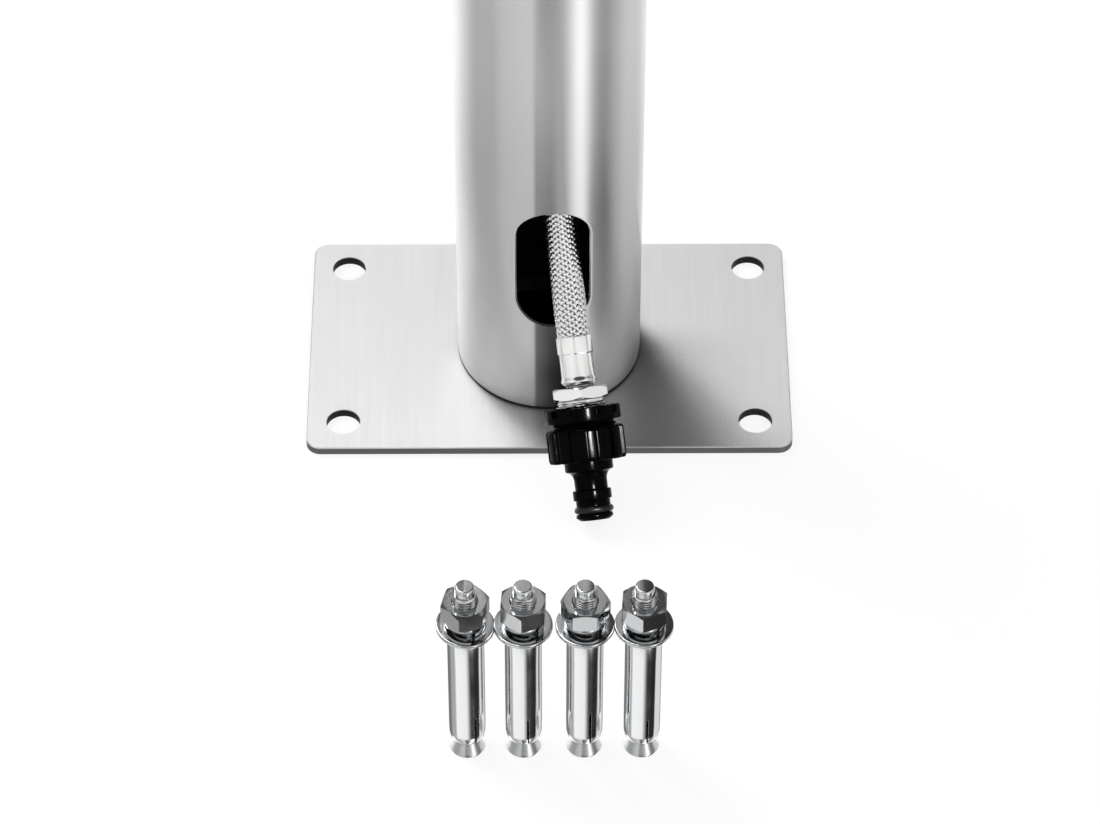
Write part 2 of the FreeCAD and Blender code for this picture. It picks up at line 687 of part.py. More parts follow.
def arm():
    """Elbow in the column, the nut that clamps it, the bent arm and its collar."""
    elbow = ported_body(arm_neck_end, three_quarter_thread, arm_height, (-1,))
    female = half_inch_thread + thread_gap
    thread_start = arm_neck_end - arm_thread_length - seat_gap
    holes = (
        moved_to(rod(port_bore, elbow_low, arm_height + port_bore), 0, valve_y),
        moved_to(rod(riser_radius + seat_gap, elbow_low - 1, riser_high), 0, valve_y),
        on_front(rod(port_bore, valve_y, thread_start + 1), 0, arm_height),
        on_front(rod(female, thread_start, arm_neck_end + 1), 0, arm_height),
    )
    for hole in holes:
        elbow = elbow.cut(hole)
    nodes["arm_elbow"] = [elbow]
    clear = three_quarter_thread + seat_gap
    nodes["arm_gasket"] = [saddle_gasket(arm_nut_hex / 2, clear, arm_height)]
    nut_low = column_radius + gasket_thickness
    nut = hexagon(arm_nut_hex, nut_low, nut_low + arm_nut_height).cut(rod(clear, 0, arm_neck_end))
    nodes["arm_nut"] = [on_front(nut, 0, arm_height)]

    tube_start = arm_neck_end + seat_gap
    corner = arm_bend * (1 - math.sqrt(0.5))
    bend_start = V(0, arm_reach - arm_bend, arm_height)
    bend_middle = V(0, arm_reach - corner, arm_height - corner)
    bend_end = V(0, arm_reach, arm_height - arm_bend)
    path = Part.Wire([
        Part.LineSegment(V(0, tube_start, arm_height), bend_start).toShape(),
        Part.Arc(bend_start, bend_middle, bend_end).toShape(),
        Part.LineSegment(bend_end, V(0, arm_reach, arm_end)).toShape()])
    tube = swept(path, arm_radius)
    spigot = rod(half_inch_thread, 0, arm_thread_length)
    tube = tube.fuse(on_front(spigot, tube_start - arm_thread_length, arm_height))
    tube = tube.fuse(moved_to(spigot, 0, arm_reach, stem_top))
    bore = arm_radius - arm_wall
    tube = tube.cut(swept(path, bore))
    inlet = rod(bore, tube_start - arm_thread_length - 1, tube_start + 1)
    tube = tube.cut(on_front(inlet, 0, arm_height))
    tube = tube.cut(moved_to(rod(bore, stem_top - 1, arm_end + 1), 0, arm_reach))
    nodes["shower_arm"] = [tube]

    cover = arm_neck_end + arm_collar_spare
    cup = turned([
        (arm_radius + seat_gap, cover), (arm_collar_radius - arm_collar_wall, cover),
        (arm_collar_radius - arm_collar_wall, 0), (arm_collar_radius, 0),
        (arm_collar_radius, cover + arm_collar_wall - arm_collar_edge),
        (arm_collar_radius - arm_collar_edge, cover + arm_collar_wall),
        (arm_radius + seat_gap, cover + arm_collar_wall)])
    nodes["arm_collar"] = [saddle_ring(cup, arm_collar_radius, seat_gap, arm_height)]


def ball_joint():
    """Swivel nut on the arm and the ball stem that hangs in it."""
    female = half_inch_thread + thread_gap
    washer_low = stem_top - washer_thickness
    flange_high = washer_low - run_gap
    flange_low = flange_high - stem_flange + 2 * run_gap
    floor_high = flange_low - run_gap
    floor_low = ball_centre + ball_drop
    washer = pipe(female - seat_gap, port_bore, washer_low, stem_top)
    nodes["swivel_washer"] = [moved_to(washer, 0, arm_reach)]
    nut = hexagon(swivel_hex, floor_low, stem_top + swivel_cover)
    nut = nut.cut(rod(female, floor_high, stem_top + swivel_cover + 1))
    nut = nut.cut(rod(stem_radius + run_gap, floor_low - 1, floor_high + 1))
    nodes["swivel_nut"] = [moved_to(nut, 0, arm_reach)]
    stem = rod(stem_radius, ball_centre, flange_high)
    stem = stem.fuse(rod(stem_flange_radius, flange_low, flange_high))
    stem = stem.fuse(Part.makeSphere(ball_radius, V(0, 0, ball_centre)))
    stem = stem.cut(rod(ball_bore, ball_centre - ball_radius - 1, flange_high + 1))
    nodes["ball_stem"] = [moved_to(stem, 0, arm_reach)]


def shower_head():
    seat = Part.makeSphere(ball_radius + ball_gap, V(0, 0, ball_centre))
    seal_high = ball_centre - socket_seal_drop
    seal_low = seal_high - socket_seal_depth
    base = ball_centre - socket_depth
    socket_high = ball_centre - socket_rim
    bore = socket_seal_radius
    socket = pipe(socket_radius, ball_bore + 1, base, socket_high)
    socket = socket.cut(seat).cut(rod(bore, seal_low, ball_centre))
    nodes["head_socket"] = [moved_to(socket, 0, arm_reach)]
    seal = pipe(bore - seat_gap, ball_bore + 1, seal_low, seal_high).cut(seat)
    nodes["ball_seal"] = [moved_to(seal, 0, arm_reach)]
    top = ball_centre + cap_nut_rise
    lip = ball_centre + cap_nut_lip
    nut_low = ball_centre - cap_nut_skirt
    nut = turned([(0, nut_low), (cap_nut_radius - cap_nut_bevel, nut_low),
                  (cap_nut_radius, nut_low + cap_nut_bevel),
                  (cap_nut_radius, ball_centre), (cap_nut_radius - cap_nut_taper, top), (0, top)])
    nut = nut.cut(rod(socket_radius + thread_gap, nut_low - 1, socket_high + seat_gap))
    lip_radius = math.sqrt((ball_radius + ball_gap) ** 2 - cap_nut_lip ** 2)
    nut = nut.cut(seat)
    nut = nut.cut(turned([(0, lip), (lip_radius, lip), (lip_radius + top - lip + 1, top + 1), (0, top + 1)]))
    nut = nut.cut(rod(lip_radius, ball_centre, lip + 0.1))
    nut = nut.cut(rod(ball_radius + ball_gap, nut_low - 1, ball_centre))
    nodes["ball_cap_nut"] = [moved_to(nut, 0, arm_reach)]

    crown = base + head_sheet
    rim_high = crown - head_crown
    rim_low = rim_high - head_height
    inside = head_radius - head_sheet
    shell = turned([
        (ball_bore + 1, base), (ball_bore + 1, base - head_sheet), (socket_radius, base - head_sheet),
        (inside - head_inner_edge, rim_high - head_sheet), (inside, rim_high - head_sheet - head_inner_edge),
        (inside, rim_low),
        (head_radius, rim_low), (head_radius, rim_high - head_edge), (head_radius - head_edge, rim_high),
        (socket_radius, base)])
    nodes["head_shell"] = [moved_to(shell, 0, arm_reach)]
    face_high = rim_low + face_thickness
    face_radius = inside - face_gap
    spots = [(0.0, 0.0)]
    for ring in range(1, nozzle_rings + 1):
        for i in range(6 * ring):
            angle = 2 * math.pi * i / (6 * ring)
            spots.append((ring * nozzle_pitch * math.cos(angle), ring * nozzle_pitch * math.sin(angle)))
    holes = [moved_to(rod(nozzle_radius + seat_gap, rim_low - 1, face_high + 1), x, y) for x, y in spots]
    face = rod(face_radius, rim_low, face_high).cut(Part.makeCompound(holes))
    nodes["head_face"] = [moved_to(face, 0, arm_reach)]
    nozzle = turned([(0, rim_low - nozzle_reach), (nozzle_tip_radius, rim_low - nozzle_reach),
                     (nozzle_radius, rim_low), (nozzle_radius, face_high + nozzle_root),
                     (0, face_high + nozzle_root)])
    mat = rod(face_radius - mat_inset, face_high, face_high + mat_thickness)
    mat = mat.multiFuse([moved_to(nozzle, x, y) for x, y in spots])
    nodes["nozzle_mat"] = [moved_to(mat, 0, arm_reach)]


def anchors():
    sleeve_low = anchor_cone + anchor_sleeve_gap
    sleeve_high = sleeve_low + anchor_sleeve_length
    washer_high = sleeve_high + anchor_washer
    spring_high = washer_high + anchor_spring_pitch + anchor_spring_height
    nut_high = spring_high + anchor_nut
    stud_hole = anchor_stud_radius + seat_gap
    stud = turned([
        (0, 0), (anchor_cone_radius, 0), (anchor_cone_radius, anchor_cone_rim),
        (anchor_cone_top, anchor_cone), (anchor_cone_top, sleeve_low),
        (anchor_stud_radius, sleeve_low + anchor_neck),
        (anchor_stud_radius, anchor_length - anchor_tip - anchor_thread_end),
        (anchor_tip_radius, anchor_length - anchor_tip),
        (anchor_tip_radius, anchor_length - anchor_tip_chamfer),
        (anchor_tip_radius - anchor_tip_chamfer, anchor_length), (0, anchor_length)])
    sleeve = turned([
        (stud_hole, sleeve_low), (anchor_sleeve_radius - anchor_sleeve_bevel, sleeve_low),
        (anchor_sleeve_radius, sleeve_low + 2 * anchor_sleeve_bevel),
        (anchor_sleeve_radius, sleeve_high), (stud_hole, sleeve_high)])
    slit = Part.makeBox(anchor_slit_width, anchor_sleeve_radius + 1, anchor_slit_length,
                        V(-anchor_slit_width / 2, 0, sleeve_low - 1))
    sleeve = sleeve.cut(Part.makeCompound(around(slit, 3, anchor_slit_turn)))
    washer = pipe(anchor_washer_radius, stud_hole, sleeve_high, washer_high)
    nut = hexagon(anchor_nut_hex, spring_high, nut_high).cut(rod(stud_hole, spring_high - 1, nut_high + 1))
    turns = anchor_spring_turn / 360.0
    inner = anchor_spring_radius - anchor_spring_section
    helix = Part.makeHelix(anchor_spring_pitch, anchor_spring_pitch * turns, anchor_spring_radius)
    corners = ((inner, 0), (anchor_spring_radius, 0), (anchor_spring_radius, anchor_spring_height),
               (inner, anchor_spring_height), (inner, 0))
    section = Part.makePolygon([V(x, 0, z) for x, z in corners])
    coil = Part.Wire(helix.Edges).makePipeShell([section], True, True)
    kinds = (("anchor_studs", stud), ("anchor_sleeves", sleeve), ("anchor_flat_washers", washer),
             ("anchor_spring_washers", moved_to(coil, 0, 0, washer_high)), ("anchor_nuts", nut))
    for name, shape in kinds:
        nodes[name] = [aimed(shape, V(x, y, 0), UP, turn)
                       for (x, y), turn in zip(anchor_places, anchor_turns)]


foot()
column()
low_end, down, top_end = hose()
hose_lower_end(low_end, down)
hose_upper_end(top_end)
stop_valve()
nose_high, spindle_end = headwork()
handle(nose_high, spindle_end)
riser()
arm()
ball_joint()
shower_head()
anchors()

os.makedirs("parts", exist_ok=True)
for name, solids in nodes.items():
    shape = solids[0] if len(solids) == 1 else Part.makeCompound(solids)
    if not shape.isValid():
        print("not valid", name)
    print(name, len(shape.Solids), round(shape.Volume, 1))
    shape.exportStep("parts/" + name + ".step")
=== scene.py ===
import math

import bmesh
import bpy
import numpy as np
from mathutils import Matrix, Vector


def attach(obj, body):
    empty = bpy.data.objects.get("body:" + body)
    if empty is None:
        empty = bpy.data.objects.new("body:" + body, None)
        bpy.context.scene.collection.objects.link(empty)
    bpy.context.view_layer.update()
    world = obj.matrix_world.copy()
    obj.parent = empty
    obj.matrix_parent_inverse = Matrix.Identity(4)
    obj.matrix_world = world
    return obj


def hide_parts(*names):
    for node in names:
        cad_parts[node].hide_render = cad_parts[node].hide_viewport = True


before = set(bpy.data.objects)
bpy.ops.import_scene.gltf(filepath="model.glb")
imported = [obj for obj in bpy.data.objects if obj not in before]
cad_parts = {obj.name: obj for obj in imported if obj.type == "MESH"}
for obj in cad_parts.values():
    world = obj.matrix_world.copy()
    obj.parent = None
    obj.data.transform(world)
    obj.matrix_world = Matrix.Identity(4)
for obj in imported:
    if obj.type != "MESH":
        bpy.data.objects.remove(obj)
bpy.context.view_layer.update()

scene = bpy.context.scene
mm = 0.001
tau = 2 * math.pi


def added(name, data, place=None, target=None):
    # a new object in the scene; a camera or lamp stands at its place and looks at its target
    made = bpy.data.objects.new(name, data)
    scene.collection.objects.link(made)
    if target:
        made.location = place
        sight = Vector(target) - made.location
        made.rotation_euler = sight.to_track_quat("-Z", "Y").to_euler()
    return made


# Camera at the photograph's viewing angle

cameraSetup = {
    "place": (-0.004578, -1.302728, 1.329275),
    "target": (0.000286, -0.036, 0.0),
    "lens": 144.9,
    "sensor": 36.0,
}

cameraData = bpy.data.cameras.new("camera")
cameraData.lens = cameraSetup["lens"]
cameraData.sensor_width = cameraSetup["sensor"]
cameraData.sensor_fit = "HORIZONTAL"
scene.camera = added("camera", cameraData, cameraSetup["place"], cameraSetup["target"])
scene.view_settings.view_transform = "Standard"
print("camera set")

# The free hose follows one smooth line from the valve down to the end of its braid

hoseSetup = {
    "route": [(0.0, 6.0, 957.0), (0.0, 6.0, 886.0), (-3.0, 2.0, 791.3), (-7.0, -3.0, 657.2),
              (-2.0, -8.0, 523.1), (6.0, -10.0, 388.9), (9.0, -9.0, 258.7), (4.6, -11.5, 168.0),
              (3.2, -14.9, 110.4), (6.2, -27.9, 78.9), (9.7, -49.0, 57.8)],
    "length": 0.911,
    "diameter": 0.013,
    "coreRadius": 5.9,
    "carriers": 24,
    "pitch": 28.6,
    "braidRadius": 6.28,
    "ribbonWidth": 1.48,
    "ribbonHeight": 0.26,
    "weaveDepth": 0.26,
    "wovenLength": 150.0,
    "sleeveSides": 40,
    "samplesPerCrossing": 4,
    "braidCreviceShade": 1.2,
}


def hoseCurve(name, points):
    # a NURBS line with the route's points as its control points
    curve = bpy.data.curves.new(name, "CURVE")
    curve.dimensions = "3D"
    spline = curve.splines.new("NURBS")
    spline.points.add(len(points) - 1)
    for point, place in zip(spline.points, points):
        point.co = (place[0] * mm, place[1] * mm, place[2] * mm, 1.0)
    spline.order_u = 3
    spline.use_endpoint_u = True
    spline.resolution_u = 24
    return added(name, curve)


def curveLine(curveObject):
    # the points that the bevel-less curve is drawn with, in millimetres
    mesh = bpy.data.meshes.new_from_object(curveObject)
    points = np.empty(len(mesh.vertices) * 3)
    mesh.vertices.foreach_get("co", points)
    bpy.data.meshes.remove(mesh)
    return points.reshape(-1, 3) / mm


hose = hoseCurve("hoseCore", hoseSetup["route"])
bpy.context.view_layer.update()
hoseLine = curveLine(hose)
hoseSteps = np.linalg.norm(np.diff(hoseLine, axis=0), axis=1)
print("hose line", len(hoseLine), "points,", round(float(hoseSteps.sum()), 1), "mm")

# Shader helpers


def mathsOf(kind, swapped=False):
    # a method that adds a Math node for its number and another, if any, swapped in a reflected form
    def method(self, *others):
        numbers = (*others, self) if swapped else (self, *others)
        return self.kit.node("Math", {"operation": kind}, dict(enumerate(numbers)))

    return method


class Num:
    # a number socket that adds a Math node for each operator
    __add__ = mathsOf("ADD")
    __radd__ = mathsOf("ADD", swapped=True)
    __sub__ = mathsOf("SUBTRACT")
    __rsub__ = mathsOf("SUBTRACT", swapped=True)
    __mul__ = mathsOf("MULTIPLY")
    __rmul__ = mathsOf("MULTIPLY", swapped=True)
    __truediv__ = mathsOf("DIVIDE")
    __pow__ = mathsOf("POWER")
    size = mathsOf("ABSOLUTE")
    most = mathsOf("MAXIMUM")
    above = mathsOf("GREATER_THAN")
    under = mathsOf("LESS_THAN")
    sine = mathsOf("SINE")
    arcSine = mathsOf("ARCSINE")
    arcTan = mathsOf("ARCTAN2")

    def __init__(self, kit, socket):
        self.kit = kit
        self.socket = socket

    def between(self, low, high, start=0.0, end=1.0):
        # eases from start to end while the number goes from low to high
        settings = {"interpolation_type": "SMOOTHSTEP"}
        return self.kit.node("MapRange", settings, {0: self, 1: low, 2: high, 3: start, 4: end})


class NodeKit:
    # makes the nodes of one material or world
    def __init__(self, tree):
        self.tree = tree
        tree.nodes.clear()

    def node(self, kind, settings, inputs, output=0):
        made = self.tree.nodes.new("ShaderNode" + kind)
        for name, value in settings.items():
            if name == "stops":
                self.setStops(made.color_ramp, value)
            else:
                setattr(made, name, value)
        for name, value in inputs.items():
            socket = made.inputs[name]
            if isinstance(value, Num):
                self.tree.links.new(value.socket, socket)
            elif isinstance(value, (int, float)) and hasattr(socket.default_value, "__len__"):
                socket.default_value = [value] * 3 + [1.0] * (len(socket.default_value) - 3)
            elif hasattr(value, "__len__") and len(value) == 3 and len(socket.default_value) == 4:
                socket.default_value = (*value, 1.0)
            else:
                socket.default_value = value
        if isinstance(output, (list, tuple)):
            return [Num(self, made.outputs[name]) for name in output]
        return Num(self, made.outputs[output]) if made.outputs else made

    def setStops(self, ramp, stops):
        while len(ramp.elements) < len(stops):
            ramp.elements.new(0.5)
        for element, (place, value) in zip(ramp.elements, stops):
            element.position = place
            element.color = (value, value, value, 1.0)

    def coords(self):
        return self.node("TexCoord", {}, {}, "Object")

    def axes(self):
        # x, y and z of the point, in metres
        return self.node("SeparateXYZ", {}, {0: self.coords()}, (0, 1, 2))

    def noise(self, vector, scale, detail=3.0, rough=0.5):
        inputs = {"Vector": vector, "Scale": scale, "Detail": detail, "Roughness": rough}
        return self.node("TexNoise", {}, inputs)

    def streaks(self, scale, detail=3.0, rough=0.6):
        # noise with its own scale along each axis
        spread = self.node("Mapping", {}, {"Vector": self.coords(), "Scale": scale})
        return self.noise(spread, 1.0, detail, rough)

    def blend(self, factor, first, second):
        settings = {"data_type": "RGBA"}
        return self.node("Mix", settings, {0: factor, 6: first, 7: second}, 2)

    def openness(self, distance, alone=True):
        # 1 on open surfaces, falling towards 0 in crevices within the distance: crevices of the piece alone,
        # or those that other pieces make with it as well
        settings = {"samples": 8, "only_local": alone}
        return self.node("AmbientOcclusion", settings, {"Distance": distance}, "AO")

    def bump(self, height, strength, distance):
        return self.node("Bump", {}, {"Height": height, "Strength": strength, "Distance": distance})

    def shader(self, **inputs):
        names = {"Base_Color": "Base Color", "Anisotropic_Rotation": "Anisotropic Rotation",
                 "Specular": "Specular IOR Level"}
        return self.node("BsdfPrincipled", {}, {names.get(k, k): v for k, v in inputs.items()})

    def finish(self, shader, target="Material"):
        self.node("Output" + target, {}, {"Surface": shader})


def material(name):
    made = bpy.data.materials.new(name)
    made.use_nodes = True
    return made, NodeKit(made.node_tree)


# Studio: pale floor, soft lamps, and a room with pale and grey walls for the metal to show

studioSetup = {
    "walls": [(-180, 1.5), (-163, 1.45), (-146, 1.38), (-133, 1.32), (-124, 1.2), (-116, 1.15), (-109, 1.04),
              (-101, 0.82), (-90, 0.5), (-74, 0.48), (-66, 0.44), (-56, 0.48), (-38, 0.6), (-21, 0.68),
              (-17, 0.68), (-14.5, 0.16), (-4, 0.16), (4, 0.18), (13, 0.36), (23, 0.75), (31, 1.8), (36, 2.3),
              (43, 1.6), (50, 0.75), (58, 0.34), (68, 0.24), (80, 0.31), (86, 0.56), (97, 0.82), (125, 0.88),
              (144, 1.25), (180, 1.6)],
    "low": [(-180, 0.2), (-118, 0.2), (-108, 0.42), (-76, 0.45), (-66, 1.05), (0, 1.0), (22, 0.1), (28, 0.02),
            (82, 0.02), (87, 0.8), (140, 0.75), (150, 0.3), (180, 0.2)],
    "horizon": [(-180, 0.05), (-158, 0.1), (-142, 0.3), (-125, 0.4), (-104, 0.4), (-85, 0.75), (-50, 0.95),
                (0, 0.8), (50, 0.95), (85, 0.7), (104, 0.35), (125, 0.35), (142, 0.3), (158, 0.1), (180, 0.05)],
    "high": [(-180, 0.06), (-125, 0.06), (-104, 0.22), (-85, 0.75), (-50, 0.95), (-36, 0.9), (-24, 0.8),
             (0, 0.8), (24, 0.8), (36, 0.9), (50, 0.95), (85, 0.65), (104, 0.18), (120, 0.06), (180, 0.06)],
    "strip": [(-180, 0.05), (-168, 0.4), (-161, 2.4), (-153, 8.5), (-146, 12.8), (-140, 9.8), (-135, 4.6),
              (-130, 1.0), (-124, 0.1), (-114, 0.0), (180, 0.0)],
    "stripFrom": 42.0,
    "stripTo": 80.0,
    "stripSoft": 3.0,
    "stripFade": 4.0,
    "lowCentre": -50.3,
    "lowHalf": 4.0,
    "lowSoft": 3.0,
    "highFrom": 22.0,
    "highTo": 30.0,
    "horizonFrom": -14.0,
    "horizonTo": -3.0,
    "topFrom": 49.0,
    "topTo": 57.0,
    "topShare": 0.08,
    "floorTone": 0.93,
    "floorGlow": 0.85,
    "floorSize": 9.0,
    "floorHeight": -0.0002,
    "floorFadeFrom": 0.5,
    "floorFadeTo": 1.6,
    "tubeInsideShade": 0.0395,
    "ambient": 0.75,
}


def toneAround(kit, azimuth, stops):
    # grey level of the studio at each azimuth in degrees, 0 towards the camera
    most = max(value for place, value in stops)
    ramp = [((place + 180) / 360, value / most) for place, value in stops]
    found = kit.node("ValToRGB", {"stops": ramp}, {0: azimuth})
    return kit.node("RGBToBW", {}, {0: found}) * most


def raysThatSee(kit):
    # camera rays, and those that mirrors and clear things send on
    outputs = ("Is Camera Ray", "Is Glossy Ray", "Is Transmission Ray")
    straight, mirrored, through = kit.node("LightPath", {}, {}, outputs)
    return straight, mirrored.most(through)


def studioWorld():
    # the wall tone by azimuth, another low ring and another upper part by elevation; white for the camera
    s = studioSetup
    world = bpy.data.worlds.new("studio")
    world.use_nodes = True
    scene.world = world
    kit = NodeKit(world.node_tree)
    direction = kit.node("TexCoord", {}, {}, "Generated")
    alongX, alongY, alongZ = kit.node("SeparateXYZ", {}, {0: direction}, (0, 1, 2))
    azimuth = alongX.arcTan(0 - alongY) / tau + 0.5
    elevation = alongZ.arcSine() * (360 / tau)
    tables = (s[part] for part in ("walls", "low", "horizon", "high", "strip"))
    walls, low, horizon, high, strip = [toneAround(kit, azimuth, stops) for stops in tables]
    offLow = (elevation - s["lowCentre"]).size()
    room = walls + (low - walls) * offLow.between(s["lowHalf"], s["lowHalf"] + s["lowSoft"], 1.0, 0.0)
    room = room + (horizon - room) * elevation.between(s["horizonFrom"], s["horizonTo"])
    room = room + (high - room) * elevation.between(s["highFrom"], s["highTo"])
    room = room * elevation.between(s["topFrom"], s["topTo"], 1.0, s["topShare"])
    inStrip = elevation.between(s["stripFrom"] - s["stripSoft"], s["stripFrom"] + s["stripSoft"])
    inStrip = inStrip * elevation.between(s["stripTo"], s["stripTo"] + s["stripFade"], 1.0, 0.0)
    room = room + strip * inStrip
    straight, mirrored = raysThatSee(kit)
    tone = s["ambient"] + (room - s["ambient"]) * mirrored
    tone = tone + (1.0 - tone) * straight
    kit.finish(kit.node("Background", {}, {"Color": kit.blend(1.0, 0.0, tone), "Strength": 1.0}), "World")


def paleFloor():
    # pale paper that keeps shadows near the object and is plain white further out;
    # the patch inside the column is painted black: painted shade
    s = studioSetup
    mesh = bpy.data.meshes.new("floor")
    side = s["floorSize"]
    corners = [(x * side, y * side, s["floorHeight"]) for x, y in ((-1, -1), (1, -1), (1, 1), (-1, 1))]
    mesh.from_pydata(corners, [], [(0, 1, 2, 3)])
    made = added("floor", mesh)
    paper, kit = material("paleFloor")
    straight, mirrored = raysThatSee(kit)
    x, y, z = kit.axes()
    reach = (x * x + y * y) ** 0.5
    # painted shade: the floor inside the column is black and does not glow
    outside = reach.above(s["tubeInsideShade"])
    grain = kit.noise(kit.coords(), 90.0, 2.0).between(0.3, 0.7, 0.985, 1.0)
    tone = kit.blend(grain * outside, 0.0, s["floorTone"])
    plain = kit.node("BsdfDiffuse", {}, {"Color": tone})
    glow = kit.node("Emission", {}, {"Color": 1.0, "Strength": 1.0})
    share = reach.between(s["floorFadeFrom"], s["floorFadeTo"], s["floorGlow"], 1.0)
    kit.finish(kit.node("MixShader", {}, {0: straight.most(mirrored) * outside * share, 1: plain, 2: glow}))
    mesh.materials.append(paper)
    made.visible_glossy = False


studioWorld()
paleFloor()

lamps = {
    "keyLamp": {"place": (-2.2, 1.6, 3.6), "target": (0.0, 0.0, 0.4), "size": 1.8, "power": 120.0,
                "mirrored": False},
    "fillLamp": {"place": (2.6, -1.8, 2.6), "target": (0.0, 0.0, 0.8), "size": 2.2, "power": 40.0,
                 "mirrored": False},
    "sparkLamp": {"place": (1.05, -2.63, 2.79), "target": (0.0, 0.0, 0.1), "size": 0.36, "power": 420.0,
                  "mirrored": True},
}
for name, lamp in lamps.items():
    data = bpy.data.lights.new(name, "AREA")
    data.size = lamp["size"]
    data.energy = lamp["power"]
    made = added(name, data, lamp["place"], lamp["target"])
    made.visible_glossy = lamp["mirrored"]
    made.visible_diffuse = not lamp["mirrored"]
    made.visible_camera = False
print("studio set")

# Finishes


# where the column's painted shade and painted reflections lie
columnShade = {
    "reach": 0.08,
    "hoseReflectionFrom": (-0.0067, -0.0049),
    "hoseReflectionToAbove": (0.0, 0.005),
    "hoseReflectionToBelow": (0.007, 0.011),
    "fadeAbove": (0.115, 0.2),
    "depthAbove": 0.34,
    "fadeBelow": (0.055, 0.065),
    "deepensBelow": (-0.0055, 0.006),
    "depthBelow": (0.42, 0.85),
    "rightFrom": (0.014, 0.017),
    "rightTo": (0.021, 0.027),
    "rightFoot": (0.03, 0.06),
    "rightFade": (0.1, 0.17),
    "depthRight": 0.3,
}


def columnFinish():
    # satin tube: fine turned grain around it, faint cloudy patches, painted shade near other pieces, a painted
    # dark shade line where it meets the plate and painted tone by height; a painted dark reflection of the hose
    # end shows beside it, under the slot and fading above it, with a painted dark band right of the slot
    s = columnShade
    made, kit = material("satinColumn")
    cloud = kit.streaks((14, 14, 8), 5.0)
    smear = kit.streaks((40, 40, 12))
    grain = kit.streaks((60, 60, 4200), 2.0)
    x, y, z = kit.axes()
    # painted shade: a dark line at the foot where the column meets the plate
    footShadeLine = z.between(0.0048, 0.0056)
    # painted shade: darker near other pieces, from ambient occlusion
    paintedNearShade = kit.openness(s["reach"], alone=False).between(0.2, 0.5, 0.08, 1.0)
    # painted light and shade by height: darker at the slot's height and lighter above it
    paintedLightByHeight = z.between(0.02, 0.07, 1.08, 1.0) * z.between(0.11, 0.2, 0.92, 1.07)
    front = y.under(0.0)
    # painted reflection: the hose end's dark reflection on the column's front, under the slot down to the foot
    # and fading out above the slot
    beside = x.between(*s["hoseReflectionFrom"]) * front
    above = beside * x.between(*s["hoseReflectionToAbove"], 1.0, 0.0) * z.between(*s["fadeAbove"], s["depthAbove"], 0.0)
    below = beside * x.between(*s["hoseReflectionToBelow"], 1.0, 0.0) * z.between(*s["fadeBelow"], 1.0, 0.0)
    below = below * x.between(*s["deepensBelow"], *s["depthBelow"])
    # painted reflection: a dark band right of the slot, from near the foot to just above the slot
    right = x.between(*s["rightFrom"]) * x.between(*s["rightTo"], 1.0, 0.0) * front
    right = right * z.between(*s["rightFade"], s["depthRight"], 0.0) * z.between(*s["rightFoot"])
    tone = (cloud.between(0.3, 0.7, 0.74, 0.81) + (grain - 0.5) * 0.03 + (smear - 0.5) * 0.05) * paintedNearShade
    tone = tone * paintedLightByHeight * (1 - above) * (1 - below) * (1 - right)
    rough = cloud.between(0.25, 0.75, 0.29, 0.34) + (smear - 0.5) * 0.06
    base = kit.blend(footShadeLine, 0.03, kit.blend(1.0, 0.0, tone))
    satin = kit.shader(Base_Color=base, Metallic=1.0, Roughness=rough, Anisotropic=0.98,
                       Anisotropic_Rotation=0.25, Normal=kit.bump(grain, 0.05, 0.0002))
    kit.finish(satin)
    return made


# where the plate's painted shade and painted shadow lie
plateShade = {
    "reach": 0.09,
    "leeX": (0.02, 0.045),
    "leeY": (-0.006, 0.014),
    "topFace": (0.0034, 0.0037),
    "edgeX": 0.096,
    "edgeY": 0.056,
    "edgeShadeTone": 0.2,
    "holeShadeDrop": 0.17,
}


def plateFinish():
    # brushed sheet with streaks from front to back, with painted shade beside the column and a painted shadow
    # on its lee side; the cut edges get a painted dark shade, and the holes' walls a painted near-black shade
    s = plateShade
    made, kit = material("brushedPlate")
    streak = kit.streaks((1500, 14, 14), 3.0, 0.65)
    broad = kit.streaks((260, 10, 10))
    cloud = kit.streaks((30, 12, 12))
    x, y, z = kit.axes()
    face = z.between(*s["topFace"])
    # painted shade near other pieces, deepened into a painted shadow on the column's lee side
    opened = kit.openness(s["reach"], alone=False)
    paintedNearShade = opened.between(0.15, 0.66, 0.14, 1.0)
    paintedLeeShadow = x.between(*s["leeX"]) * y.between(*s["leeY"], 1.0, 0.0)
    paintedNearShade = paintedNearShade + (opened.between(0.35, 0.92, 0.12, 1.0) - paintedNearShade) * paintedLeeShadow
    tone = (0.85 + (streak - 0.5) * 0.1 + (broad - 0.5) * 0.05 + (cloud - 0.5) * 0.07) * paintedNearShade
    rough = 0.55 + (streak - 0.5) * 0.1
    # painted shade: the cut edges dark and the holes' walls nearly black
    holeShadeMask = x.size().under(s["edgeX"]) * y.size().under(s["edgeY"])
    side = s["edgeShadeTone"] - s["holeShadeDrop"] * holeShadeMask
    base = kit.blend(1.0, 0.0, side + (tone - side) * face)
    kit.finish(kit.shader(Base_Color=base, Metallic=1.0, Roughness=rough, Normal=kit.bump(streak, 0.1, 0.0002)))
    return made


